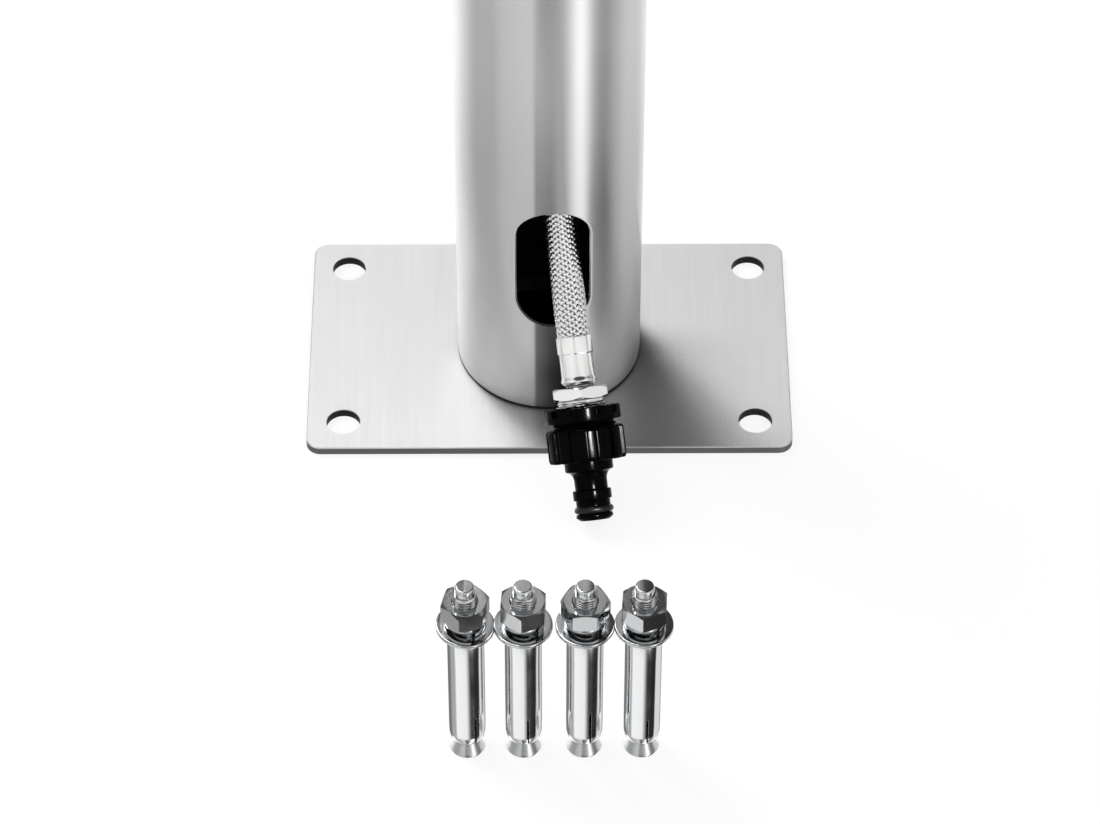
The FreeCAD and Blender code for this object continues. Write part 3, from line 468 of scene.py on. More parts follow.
def plainMetal(name, tone, rough, grainScale=(900, 900, 900), grainDepth=0.05, spread=0.04, creviceShadeWidth=0.0,
               alone=True):
    # plated or turned metal: small changes of tone and gloss over fine grain, and painted shade in crevices
    # of the given width
    made, kit = material(name)
    grain = kit.streaks(grainScale)
    cloud = kit.noise(kit.coords(), 60.0, 3.0, 0.55)
    factor = cloud.between(0.3, 0.7) * 0.7 + grain * 0.3
    base = kit.blend(factor, tuple(c * (1 - spread) for c in tone), tone)
    # painted shade: near black in crevices, from ambient occlusion
    if creviceShadeWidth:
        base = kit.blend(kit.openness(creviceShadeWidth, alone).between(0.25, 0.8), 0.02, base)
    gloss = cloud.between(0.3, 0.7, rough * 0.85, rough * 1.15)
    lumps = kit.bump(grain, grainDepth, 0.0002)
    kit.finish(kit.shader(Base_Color=base, Metallic=1.0, Roughness=gloss, Normal=lumps))
    return made


def braidFinish(name, wound=False):
    # bright wires: a strand's UV runs across its five wires; on the wound sleeve it runs around and along,
    # where the two families of strands are the crests of sin(pi (12 u + t v)) and sin(pi (12 u - t v))
    made, kit = material(name)
    cloud = kit.noise(kit.coords(), 400.0, 2.0, 0.5)
    u, v, w = kit.node("SeparateXYZ", {}, {0: kit.node("UVMap", {}, {}, "UV")}, (0, 1, 2))
    if wound:
        half = hoseSetup["carriers"] / 2
        turns = half * (hoseSetup["length"] / mm - hoseSetup["wovenLength"]) / hoseSetup["pitch"]
        oneWay = ((u * half + v * turns) * math.pi).sine().size()
        otherWay = ((u * half - v * turns) * math.pi).sine().size()
        height = oneWay.most(otherWay)
        # the dark between the crests is partly the black core showing through, partly painted shade
        paintedGapShade = height.between(0.3, 0.75)
    else:
        height = (u * (5 * math.pi)).sine().size()
        # painted shade: darker in crevices between wires and strands, and darker towards each wire's edges
        paintedGapShade = kit.openness(hoseSetup["braidCreviceShade"] * mm).between(0.32, 0.68)
        paintedGapShade = paintedGapShade * height.between(0.0, 0.45, 0.85, 1.0)
    steel = kit.blend(cloud.between(0.3, 0.7), (0.96, 0.96, 0.96), (0.99, 0.99, 0.99))
    base = kit.blend(paintedGapShade, 0.015, steel)
    kit.finish(kit.shader(Base_Color=base, Metallic=1.0, Roughness=cloud.between(0.3, 0.7, 0.22, 0.3),
                          Normal=kit.bump(height, 0.15, 0.0004 if wound else 0.0001)))
    return made


def softFinish(name, tone, rough, grainScale, depth, specular=0.5):
    # moulded plastic, rubber or silicone: fine pitting over a plain colour
    made, kit = material(name)
    grain = kit.noise(kit.coords(), grainScale, 3.0, 0.6)
    cloud = kit.noise(kit.coords(), 50.0, 2.0, 0.5)
    base = kit.blend(cloud.between(0.3, 0.7), tuple(c * 0.85 for c in tone), tone)
    gloss = cloud.between(0.3, 0.7, rough * 0.85, rough * 1.2)
    pits = kit.bump(grain, depth, 0.0002)
    kit.finish(kit.shader(Base_Color=base, Roughness=gloss, Specular=specular, Normal=pits))
    return made


finishes = {
    "column_steel": columnFinish(),
    # painted shade: the inside of the column and of the anchor sleeves, and the sleeves' slit edges, are near
    # black
    "tube_inside": softFinish("tubeInsideShade", (0.003, 0.003, 0.003), 0.9, 300.0, 0.1, 0.05),
    "plate_steel": plateFinish(),
    "weld_steel": plainMetal("weldSteel", (0.5, 0.5, 0.5), 0.45, (700, 700, 700), 0.4, 0.2),
    "cap_steel": plainMetal("cappedSteel", (0.78, 0.78, 0.78), 0.24, (60, 60, 2500), 0.05),
    "polished_steel": plainMetal("polishedSteel", (0.82, 0.82, 0.82), 0.12, (80, 80, 1500), 0.02),
    "hose_braid": braidFinish("braidSteel"),
    "woundBraid": braidFinish("woundBraid", wound=True),
    # the last number of the ferrule, nickel and anchor finishes is the width of their painted crevice shade
    "ferrule_steel": plainMetal("ferruleSteel", (0.93, 0.925, 0.915), 0.13, (400, 400, 400), 0.03, 0.04, 0.003),
    "nickel": plainMetal("nickelPlate", (0.96, 0.955, 0.945), 0.13, (500, 500, 500), 0.03, 0.04, 0.003, False),
    "anchor_steel": plainMetal("zincPlate", (0.86, 0.87, 0.88), 0.11, (300, 300, 90), 0.03, 0.04, 0.003),
    "anchorNut": plainMetal("nutZinc", (0.66, 0.67, 0.68), 0.13, (500, 500, 500), 0.06, 0.12, 0.004),
    "anchorStud": plainMetal("studZinc", (0.7, 0.71, 0.72), 0.13, (300, 300, 900), 0.05, 0.12, 0.002),
    "cutEdge": plainMetal("cutEdge", (0.92, 0.92, 0.92), 0.4, (300, 300, 2000), 0.1),
    "brass": plainMetal("brass", (0.78, 0.58, 0.28), 0.22, (500, 500, 500), 0.03),
    "black_plastic": softFinish("blackPlastic", (0.0014, 0.0014, 0.0018), 0.15, 2600.0, 0.04, 0.025),
    "seal_rubber": softFinish("sealRubber", (0.006, 0.006, 0.006), 0.36, 1800.0, 0.1, 0.25),
    "silicone": softFinish("silicone", (0.32, 0.33, 0.34), 0.5, 1500.0, 0.08),
    "ceramic": softFinish("ceramic", (0.85, 0.84, 0.8), 0.2, 900.0, 0.02),
}
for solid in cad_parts.values():
    for place in solid.material_slots:
        place.material = finishes[place.material.name.split(".")[0]]
print("finishes set")

# Mesh helpers, all lengths in millimetres


def gridFaces(rows, cols, closeRows, closeCols):
    # quads between neighbouring rows and columns of a grid of points
    index = np.arange(rows * cols).reshape(rows, cols)
    if closeRows:
        index = np.vstack([index, index[:1]])
    if closeCols:
        index = np.hstack([index, index[:, :1]])
    corners = [index[:-1, :-1], index[:-1, 1:], index[1:, 1:], index[1:, :-1]]
    return np.stack(corners, -1).reshape(-1, 4)


def surface(points, closeRows=False, closeCols=True, keep=None):
    # one sheet of points, rows by columns, with the faces that the mask keeps
    rows, cols = points.shape[:2]
    faces = gridFaces(rows, cols, closeRows, closeCols)
    if keep is not None:
        faces = faces[keep.reshape(-1)]
    return points.reshape(-1, 3), faces


def capped(points):
    # the first and last rows are drawn together to a point each, so the sheet closes
    first = np.broadcast_to(points[0].mean(0), points[0].shape)
    last = np.broadcast_to(points[-1].mean(0), points[-1].shape)
    return np.concatenate([first[None], points, last[None]])


def profile(corners, closed=False, steps=5):
    # a corner given with a third number is rounded: a parabola touches both sides at that distance
    places = np.array([c[:2] for c in corners], float)
    found = []
    for i, corner in enumerate(corners):
        here = places[i]
        inside = closed or 0 < i < len(corners) - 1
        if len(corner) > 2 and inside:
            back = places[i - 1] - here
            ahead = places[(i + 1) % len(corners)] - here
            reach = min(corner[2], 0.49 * np.hypot(*back), 0.49 * np.hypot(*ahead))
            start = here + back / np.hypot(*back) * reach
            end = here + ahead / np.hypot(*ahead) * reach
            t = np.linspace(0, 1, steps)[:, None]
            found.extend((1 - t) ** 2 * start + 2 * t * (1 - t) * here + t ** 2 * end)
        else:
            found.append(here)
    return np.array(found)


def circle(count):
    return np.arange(count) * tau / count


def around(radii, heights, angles):
    # x = r cos a, y = r sin a, z = h, for rows of radii and heights and one column per angle
    radii, heights, angles = np.broadcast_arrays(radii, heights, angles)
    return np.stack([radii * np.cos(angles), radii * np.sin(angles), heights], -1)


def turned(corners, closed=True, count=96, reshape=None):
    # the profile carried around the Z axis; reshape gives each radius from the point's angle, radius and height
    line = profile(corners, closed)
    radii = line[:, :1]
    heights = line[:, 1:]
    angles = circle(count)[None]
    if reshape:
        radii = reshape(angles, radii, heights)
    return surface(around(radii, heights, angles), closeRows=closed)


def hexRadius(angles, flats):
    # distance from the axis to the side of a hexagon, its corners slightly turned off
    sixth = tau / 6
    reach = flats / 2 / np.cos(np.mod(angles, sixth) - sixth / 2)
    return np.minimum(reach, flats / math.sqrt(3) * 0.994)


def hexNut(flats, low, high, bore, topBore=None, inside=(), count=180):
    # r is the hexagon's own radius between two 30 degree cones that take its corners off;
    # the bore may step to another above, over the rows given inside
    angles = circle(count)[None]
    reach = hexRadius(angles, flats)
    face = flats / 2 * 0.965
    drop = (reach - face) * math.tan(math.radians(30))
    cut = 0.5
    top = topBore or bore
    rows = [(bore, low + cut), (bore + cut, low), (face, low), (reach, low + drop), (reach, high - drop),
            (face, high), (top + cut, high), (top, high - cut), *inside]
    points = np.concatenate([around(r, h, angles) for r, h in rows])
    return surface(points, closeRows=True)


def screw(outer, depth, pitch, low, high, start, steps=8, count=96):
    # a helical ridge, closed at both ends: it rises towards the crest line z = pitch * a / 2 pi
    # and eases in from start and out before the high end
    angles = circle(count)[None]
    heights = np.arange(low, high, pitch / steps)[:, None]
    phase = np.mod(heights / pitch - angles / tau, 1.0)
    ridge = np.clip(1.5 * np.abs(2 * phase - 1) - 0.25, 0, 1)
    ease = np.clip((heights - start) / pitch, 0, 1) * np.clip((high - heights) / (0.7 * pitch), 0, 1)
    radii = outer - depth * (1 - ridge) - depth * 0.9 * ridge * (1 - ease)
    return surface(capped(around(radii, heights, angles)))


def placed(part, base=(0, 0, 0), axis=(0, 0, 1), spin=0.0):
    # the part's own Z axis laid along the given axis at the given place, after a turn about itself
    points, faces = part
    turn = Vector((0, 0, 1)).rotation_difference(Vector(axis)).to_matrix()
    cosine, sine = math.cos(spin), math.sin(spin)
    turn = np.array(turn) @ np.array([[cosine, -sine, 0], [sine, cosine, 0], [0, 0, 1]])
    return points @ turn.T + np.array(base, float), faces


def piece(name, parts, finish, body="root", nodes=(), sharp=28.0, uv=None, orient=True):
    # joins the parts into one mesh, welds seams and poles, turns faces outwards and shades it smooth
    points = np.concatenate([p for p, f in parts]) * mm
    starts = np.cumsum([0] + [len(p) for p, f in parts[:-1]])
    faces = np.concatenate([f + start for (p, f), start in zip(parts, starts)])
    mesh = bpy.data.meshes.new(name)
    mesh.vertices.add(len(points))
    mesh.vertices.foreach_set("co", points.ravel())
    mesh.loops.add(faces.size)
    mesh.loops.foreach_set("vertex_index", faces.ravel())
    mesh.polygons.add(len(faces))
    mesh.polygons.foreach_set("loop_start", np.arange(0, faces.size, 4))
    mesh.update(calc_edges=True)
    if uv is not None:
        mesh.uv_layers.new(name="UVMap").data.foreach_set("uv", uv[faces.ravel()].ravel())
    if orient:
        work = bmesh.new()
        work.from_mesh(mesh)
        bmesh.ops.remove_doubles(work, verts=work.verts, dist=2e-7)
        bmesh.ops.dissolve_degenerate(work, edges=work.edges, dist=1e-7)
        bmesh.ops.recalc_face_normals(work, faces=work.faces)
        work.to_mesh(mesh)
        work.free()
    mesh.polygons.foreach_set("use_smooth", np.ones(len(mesh.polygons), bool))
    mesh.set_sharp_from_angle(angle=math.radians(sharp))
    mesh.materials.append(finishes[finish])
    made = added(name, mesh)
    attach(made, body)
    if nodes:
        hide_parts(*nodes)
    return made


def walled(made, thickness, *linings):
    # gives a sheet its wall inwards, with the first lining's finish inside and the last one's on the edges
    for lining in linings:
        made.data.materials.append(finishes[lining])
    wall = made.modifiers.new("wall", "SOLIDIFY")
    wall.thickness = thickness * mm
    wall.offset = -1
    wall.material_offset = 1
    wall.material_offset_rim = len(linings)


# Column: the tube with its stadium slot, as a sheet that gets its wall from Solidify

columnSetup = {
    "radius": 38.05,
    "wall": 1.5,
    "low": 0.1,
    "high": 2110.0,
    "slotLow": 52.0,
    "slotHeight": 63.5,
    "slotWidth": 30.5,
    "slotTurn": 2.5,
    "rimRound": 0.22,
    "columns": 220,
}


def columnTube():
    # each row runs around the tube from one edge of the slot to the other; above and below the slot they meet
    s = columnSetup
    half = s["slotWidth"] / 2
    lowEnd = s["slotLow"] + half
    highEnd = s["slotLow"] + s["slotHeight"] - half
    quarter = np.linspace(0, math.pi / 2, 22)
    heights = [np.array([s["low"], 12.0, 30.0, 44.0]), lowEnd - half * np.cos(quarter),
               np.linspace(lowEnd, highEnd, 9)[1:-1], highEnd + half * np.sin(quarter),
               np.array([124.0, 140.0, 180.0, 260.0, 450.0, 800.0, 1200.0, 1600.0, 2000.0, s["high"]])]
    widths = [np.zeros(4), half * np.sin(quarter), np.full(7, half), half * np.cos(quarter), np.zeros(10)]
    heights = np.concatenate(heights)[:, None]
    edge = np.arcsin(np.concatenate(widths) / s["radius"])[:, None]
    share = np.linspace(0, 1, s["columns"] + 1)[None]
    angles = math.radians(s["slotTurn"]) - math.pi / 2 + edge + share * (tau - 2 * edge)
    points = around(s["radius"], heights, angles)
    made = piece("satinColumn", [surface(points, closeCols=False)], "column_steel", nodes=["column_tube"],
                 sharp=40)
    walled(made, s["wall"], "tube_inside", "cutEdge")
    rim = made.modifiers.new("rim", "BEVEL")
    rim.limit_method = "ANGLE"
    rim.angle_limit = math.radians(50)
    rim.width = s["rimRound"] * mm
    rim.segments = 2


columnTube()
print("column made")

# Hose: dark inner tube, woven sleeve and its crimped ends


def lineFrames(line):
    # distance along the line from its far end, and two axes across it at each point
    upward = line[::-1]
    steps = np.linalg.norm(np.diff(upward, axis=0), axis=1)
    along = np.concatenate([[0], np.cumsum(steps)])
    tangent = np.gradient(upward, axis=0)
    tangent /= np.linalg.norm(tangent, axis=1)[:, None]
    across = np.array([1.0, 0, 0]) - tangent * tangent[:, :1]
    across /= np.linalg.norm(across, axis=1)[:, None]
    return along, upward, tangent, across, np.cross(tangent, across)


def atDistance(frames, distance):
    # centre and the two cross axes at the given distances, straight on past the far end
    along, centre, tangent, across, other = frames
    found = [np.stack([np.interp(distance, along, part[:, i]) for i in range(3)], -1)
             for part in (centre, across, other)]
    found[0] = found[0] + np.minimum(distance, 0)[..., None] * tangent[0]
    return found


def wovenSleeve(frames):
    # each flat strand winds as a helix a = a0 +- 2 pi s / pitch, and rises and dips as cos(pi s / crossing)
    s = hoseSetup
    crossing = s["pitch"] / s["carriers"]
    count = int(s["wovenLength"] / crossing * s["samplesPerCrossing"])
    distance = np.linspace(-1.6, s["wovenLength"], count)
    slope = math.atan2(s["pitch"], tau * s["braidRadius"])
    sectionAcross = np.array([-0.5, -0.27, 0.27, 0.5, 0.27, -0.27]) * s["ribbonWidth"]
    sectionUp = np.array([0.0, 0.75, 0.75, 0.0, -0.25, -0.25]) * s["ribbonHeight"]
    sectionU = np.array([0.0, 0.23, 0.77, 1.0, 0.77, 0.23])
    parts = []
    maps = []
    half = s["carriers"] // 2
    for side in (1, -1):
        for strand in range(half):
            start = tau * strand / half
            wave = np.cos(math.pi * distance / crossing)
            lift = side * s["weaveDepth"] * np.sign(wave) * np.abs(wave) ** 0.5
            spot = distance[:, None] + sectionAcross[None] * math.cos(slope)
            slant = sectionAcross[None] * math.sin(slope) / s["braidRadius"]
            wound = tau * distance[:, None] / s["pitch"] - slant
            angle = start + side * wound
            radius = s["braidRadius"] + lift[:, None] + sectionUp[None]
            centre, across, other = atDistance(frames, spot)
            cosine, sine = np.cos(angle)[..., None], np.sin(angle)[..., None]
            points = centre + radius[..., None] * (cosine * across + sine * other)
            closedSheet = capped(points)
            parts.append(surface(closedSheet))
            u, v = np.meshgrid(sectionU, np.linspace(0, 1, len(closedSheet)))
            maps.append(np.stack([u, v], -1).reshape(-1, 2))
    return parts, np.concatenate(maps)


def plainSleeve(frames):
    # the same sleeve further up as one tube, its weave in the finish
    s = hoseSetup
    distance = np.linspace(s["wovenLength"] - 2, frames[0][-1] - 0.3, 260)
    angles = np.linspace(0, tau, s["sleeveSides"] + 1)[None, :, None]
    centre, across, other = [part[:, None] for part in atDistance(frames, distance)]
    points = capped(centre + (s["braidRadius"] + 0.1) * (np.cos(angles) * across + np.sin(angles) * other))
    rows, cols = points.shape[:2]
    u, v = np.meshgrid(np.linspace(0, 1, cols), np.linspace(0, 1, rows))
    return [surface(points, closeCols=False)], np.stack([u, v], -1).reshape(-1, 2)


hoseFrames = lineFrames(hoseLine)
wovenParts, wovenMap = wovenSleeve(hoseFrames)
woven = piece("wovenBraid", wovenParts, "hose_braid", uv=wovenMap, sharp=50, orient=False)
sleeveParts, sleeveMap = plainSleeve(hoseFrames)
sleeve = piece("hiddenBraid", sleeveParts, "woundBraid", uv=sleeveMap, sharp=50)
print("braid made")

hoseEnd = hoseFrames[1][0]
hoseAim = -hoseFrames[2][0]

ferruleSetup = {
    "collarRadius": 7.4,
    "collar": 7.1,
    "sleeveRadius": 6.85,
    "beadRadius": 7.15,
    "length": 19.6,
    "facets": 8,
    "collarFacet": 0.42,
    "sleeveFacet": 0.26,
    "jawMark": 0.12,
    "jawWidth": 0.04,
    "turn": 17.5,
}


def ferrule():
    # turned sleeve pressed to facets: r falls by a share of the gap between circle and polygon,
    # and by a narrow bell curve where two jaws of the press met
    s = ferruleSetup
    step = tau / s["facets"]

    def pressed(angles, radii, heights):
        polygon = np.cos(step / 2) / np.cos(np.mod(angles, step) - step / 2)
        onCollar = np.clip((s["collar"] + 0.3 - heights) / 0.8, 0, 1)
        onSleeve = np.clip((15.6 - heights) / 2.0, 0, 1) * (1 - onCollar)
        depth = s["collarFacet"] * onCollar + s["sleeveFacet"] * onSleeve
        outside = radii > 6.4
        share = (1 - polygon) / (1 - np.cos(step / 2))
        offCorner = np.abs(np.mod(angles + step / 2, step) - step / 2)
        mark = s["jawMark"] * np.exp(-(offCorner / s["jawWidth"]) ** 2) * (onCollar + 0.6 * onSleeve)
        return np.where(outside, radii - depth * share - mark, radii)

    c, r = s["collarRadius"], s["sleeveRadius"]
    corners = [(5.0, 0.6), (6.75, 0.6, 0.2), (6.9, 0, 0.25), (c, 0, 0.35), (c, s["collar"] - 0.4, 0.3),
               (r, s["collar"] + 0.1, 0.25), (r, 8.4), (r, 12.0), (r, 15.4), (r, 16.4, 0.4),
               (s["beadRadius"], 17.3, 0.6), (s["beadRadius"] + 0.15, 18.3, 0.6), (r - 0.5, s["length"], 0.5),
               (4.0, s["length"])]
    return turned(corners, closed=True, count=320, reshape=pressed)


lowFerrule = piece("crimpedFerrules", [placed(ferrule(), hoseEnd, hoseAim, math.radians(ferruleSetup["turn"])),
                                       placed(ferrule(), hoseFrames[1][-1], (0, 0, 1))],
                   "ferrule_steel", nodes=["hose_ferrules"])

threadSetup = {
    "hexFlats": 22.0,
    "hexLow": 20.5,
    "hexHigh": 25.5,
    "thread": 10.45,
    "threadDepth": 1.05,
    "threadPitch": 1.81,
    "threadEnd": 37.0,
    "bore": 2.75,
    "turn": -13.5,
}


def threadEnd():
    # hexagon with both edges turned off, then the helical thread
    s = threadSetup
    high = s["hexHigh"]
    return [hexNut(s["hexFlats"], s["hexLow"], high, s["bore"]),
            screw(s["thread"], s["threadDepth"], s["threadPitch"], high - 0.1, s["threadEnd"], high + 0.6, 10),
            turned([(0, 18.0), (5.6, 18.0), (5.6, 20.2), (8.6, 20.6), (0, 20.6)], closed=False, count=64)]


hexTurn = math.radians(threadSetup["turn"])
hoseThread = piece("hoseThreadEnd", [placed(p, hoseEnd, hoseAim, hexTurn) for p in threadEnd()],
                   "nickel", nodes=["hose_thread_end"], sharp=26)

plasticSetup = {
    "flangeLow": 28.8,
    "flangeHeight": 5.7,
    "flangeRadius": 15.3,
    "notches": 10,
    "notchWidth": 2.6,
    "notchDepth": 3.0,
    "threadRadius": 13.2,
    "threadPitch": 1.81,
    "threadHigh": 46.5,
    "nutLow": 37.0,
    "nutHigh": 50.5,
    "nutRadius": 15.8,
    "ribs": 12,
    "grooveDepth": 1.25,
    "grooveShare": 0.36,
}


def pulse(angles, count, share, soft):
    # 1 inside each of the evenly spaced grooves, 0 between them, with sides of the given softness
    off = np.abs(np.mod(angles * count / tau + 0.5, 1.0) - 0.5)
    return np.clip((share / 2 - off) / soft + 0.5, 0, 1)


def reducer():
    # flange with square notches in the rim's upper edge, then the larger thread
    s = plasticSetup
    low, radius = s["flangeLow"], s["flangeRadius"]
    high = low + s["flangeHeight"]
    ring = 10.6

    def notched(angles, radii, heights):
        share = s["notchWidth"] / radius / (tau / s["notches"])
        onRim = (heights < low + s["notchDepth"] + 0.01) * (radii > radius - 1)
        inNotch = pulse(angles, s["notches"], share, 0.02) * onRim
        return radii - inNotch * (s["notchDepth"] - 0.4)

    edge = low + s["notchDepth"]
    flange = turned([(ring, low), (ring + 0.4, low, 0.3), (radius - 0.3, low), (radius, low + 0.35),
                     (radius, edge), (radius, edge + 0.04), (radius, high - 0.5, 0.2),
                     (radius - 0.4, high, 0.2), (ring, high)], count=360, reshape=notched)
    return [flange, screw(s["threadRadius"], 1.05, s["threadPitch"], high - 0.1, s["threadHigh"], high)]


def tapConnector():
    # ribbed nut, shoulder with a hollow curve to the neck, collar, groove for the ring and round nose
    s = plasticSetup
    low, high, radius = s["nutLow"], s["nutHigh"], s["nutRadius"]

    def ribbed(angles, radii, heights):
        groove = pulse(angles, s["ribs"], s["grooveShare"], 0.06)
        onNut = (heights > low + 0.3) * (heights < high + 0.1) * (radii > radius - 1.2)
        fade = np.clip((heights - low - 0.3) / 0.7, 0, 1)
        return radii - s["grooveDepth"] * groove * onNut * fade

    corners = [(11.0, low + 0.5), (13.4, low + 0.5), (14.6, low, 0.3), (radius - 0.5, low + 0.25, 0.3),
               (radius, low + 1.0, 0.5), (radius, low + 5.0), (radius, high - 5.0), (radius, high - 1.2, 0.6),
               (radius - 0.6, high, 0.4), (10.1, high), (9.8, high + 0.3), (9.8, high + 3.6, 0.35),
               (9.4, high + 4.0, 0.3), (8.2, high + 4.4), (7.4, high + 5.2), (6.85, high + 6.3),
               (6.65, high + 7.4), (6.65, high + 11.3, 0.2), (6.9, high + 11.5, 0.15), (7.8, high + 11.7, 0.3),
               (7.8, high + 15.6, 0.3), (7.0, high + 15.8, 0.15), (6.9, high + 16.1), (6.9, high + 18.1),
               (5.0, high + 18.2), (5.0, high + 21.2), (7.3, high + 21.3, 0.3), (7.5, high + 22.0, 0.3),
               (7.45, high + 22.8, 0.6), (6.0, high + 24.0, 0.5), (4.2, high + 24.0, 0.2), (4.2, high + 10.0)]
    return turned(corners, closed=True, count=240, reshape=ribbed)


def bentRing(radius, wire, height, count=72, section=16):
    # torus: a circle of the wire's radius carried around the axis
    turn = circle(section)[:, None]
    angles = circle(count)[None]
    return surface(around(radius + wire * np.cos(turn), height + wire * np.sin(turn), angles), closeRows=True)


adaptor = piece("tapReducer", [placed(p, hoseEnd, hoseAim, 0.2) for p in reducer()], "black_plastic",
                nodes=["tap_adaptor"])
connector = piece("tapConnector", [placed(tapConnector(), hoseEnd, hoseAim, 0.12)], "black_plastic",
                  nodes=["hose_connector"], sharp=32)
sealRing = piece("noseRing", [placed(bentRing(6.5, 1.5, 70.15), hoseEnd, hoseAim)], "seal_rubber",
                 nodes=["connector_o_ring"])

hose.data.bevel_depth = hoseSetup["coreRadius"] * mm
hose.data.bevel_resolution = 6
hose.data.use_fill_caps = True
hose.data.materials.append(finishes["seal_rubber"])
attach(hose, "root")
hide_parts("inlet_hose")

mouldedParts = bpy.data.collections.new("mouldedParts")
for made in (adaptor, connector, sealRing):
    mouldedParts.objects.link(made)
# the small lamp shines on the black plastic alone
bpy.data.objects["sparkLamp"].light_linking.receiver_collection = mouldedParts
print("hose end made")

# Upper fittings: what the valve and the arm stand on, and the jointed shower head


def saddled(corners, curve):
    # a profile carried around +Y; where its height is 0 it ends on the column, at y = sqrt(curve^2 - x^2)
    line = profile(corners, closed=True)
    radii = line[:, :1]
    angles = circle(144)[None]
    onColumn = np.sqrt(curve ** 2 - (radii * np.cos(angles)) ** 2)
    heights = np.where(line[:, 1:] < 0.01, onColumn, line[:, 1:])
    return surface(around(radii, heights, angles), closeRows=True)


coverSetup = {
    "valveHeight": 1050.0,
    "ringRadius": 22.0,
    "ringFace": 43.55,
    "ringBore": 12.65,
    "ringCurve": 39.55,
    "armHeight": 2050.0,
    "collarRadius": 25.0,
    "collarFace": 49.55,
    "collarBore": 11.1,
    "collarCurve": 38.1,
}


def coverRings():
    # the valve's flat ring with a turned step, and the arm's domed collar, both cut to the column's curve
    s = coverSetup
    r, face, bore = s["ringRadius"], s["ringFace"], s["ringBore"]
    ring = saddled([(bore, 0), (r, 0), (r, face - 1.6), (r - 0.5, face - 0.7, 0.3), (r - 1.6, face - 0.4, 0.3),
                    (r - 4.6, face - 0.4, 0.2), (r - 5.0, face, 0.2), (bore + 0.4, face), (bore, face - 0.4)],
                   s["ringCurve"])
    piece("valveCoverRing", [placed(ring, (0, 0, s["valveHeight"]), (0, 1, 0))], "cap_steel",
          nodes=["valve_ring"])
    r, face, bore = s["collarRadius"], s["collarFace"], s["collarBore"]
    collar = saddled([(r - 2, 0), (r, 0), (r, face - 6.5, 2.0), (r - 2.0, face - 2.6, 2.6),
                      (r - 8.0, face - 0.4, 3.5), (bore + 1.2, face), (bore, face - 0.5, 0.4),
                      (bore, face - 2.0), (r - 9.0, face - 2.4, 2.0), (r - 3.6, face - 5.0, 2.0),
                      (r - 2, face - 8.0, 1.0)], s["collarCurve"])
    piece("armCollar", [placed(collar, (0, 0, s["armHeight"]), (0, 1, 0))], "cap_steel", nodes=["arm_collar"])


leverSetup = {
    "root": (0.0, 66.8, 1040.0),
    "radius": 4.0,
    "neck": 3.1,
    "length": 46.0,
}


def valveLever():
    # turned pin: a seat in the knob, a narrow neck, a slender cone and a rounded end
    s = leverSetup
    r, neck, end = s["radius"], s["neck"], s["length"]
    pin = turned([(0, 0.2), (r, 0.2), (r, 8.9, 0.2), (neck, 9.5, 0.5), (neck, 10.8, 0.5),
                  (neck + 0.25, 11.5, 0.3), (r - 0.1, end - 9.0, 3.0), (r, end - 4.0, 2.2),
                  (r - 0.8, end - 0.9, 1.2), (0, end)], closed=False, count=96)
    piece("valveLeverPin", [placed(pin, s["root"], (0, 0, -1))], "polished_steel", "handle", ["valve_lever"])


headSetup = {
    "centre": (0.0, 235.0, 0.0),
    "ball": 1950.0,
    "socketRadius": 15.5,
    "socketLow": 1936.0,
    "capRadius": 18.0,
    "capLow": 1943.5,
    "capHigh": 1958.0,
    "knurls": 40,
    "knurlDepth": 0.35,
    "nutFlats": 24.0,
    "nutLow": 1964.0,
    "nutHigh": 1981.0,
    "shellRadius": 80.0,
    "shellInside": 78.8,
    "shellLow": 1925.2,
}


def swivelNut():
    # hexagon nut over the arm's end, with a floor that holds the ball stem's flange
    s = headSetup
    nut = hexNut(s["nutFlats"], s["nutLow"], s["nutHigh"], 5.65, 10.7,
                 [(10.7, s["nutLow"] + 3.0), (5.65, s["nutLow"] + 3.0)])
    piece("swivelHexNut", [placed(nut, s["centre"])], "polished_steel", nodes=["swivel_nut"])


def ballSocket():
    # turned cup under the ball; its inside follows r = sqrt(seat^2 - (z - ball)^2)
    s = headSetup
    low, r, ball, seat = s["socketLow"], s["socketRadius"], s["ball"], 11.1
    inside = [(math.sqrt(seat ** 2 - drop ** 2), ball - drop) for drop in (1.5, 3.0, 4.5, 6.0, 7.2, 7.99)]
    cup = turned([(4.5, low + 0.05), (r - 0.4, low + 0.05), (r, low + 0.5), (r, low + 3.2, 0.1),
                  (r - 0.5, low + 3.6, 0.1), (r - 0.5, low + 4.6, 0.1), (r, low + 5.0, 0.1), (r, low + 12.1),
                  (r - 0.4, low + 12.5), *inside, (7.7, low + 3.25), (4.5, low + 3.25)])
    piece("ballSocket", [placed(cup, s["centre"])], "polished_steel", "head", ["head_socket"])


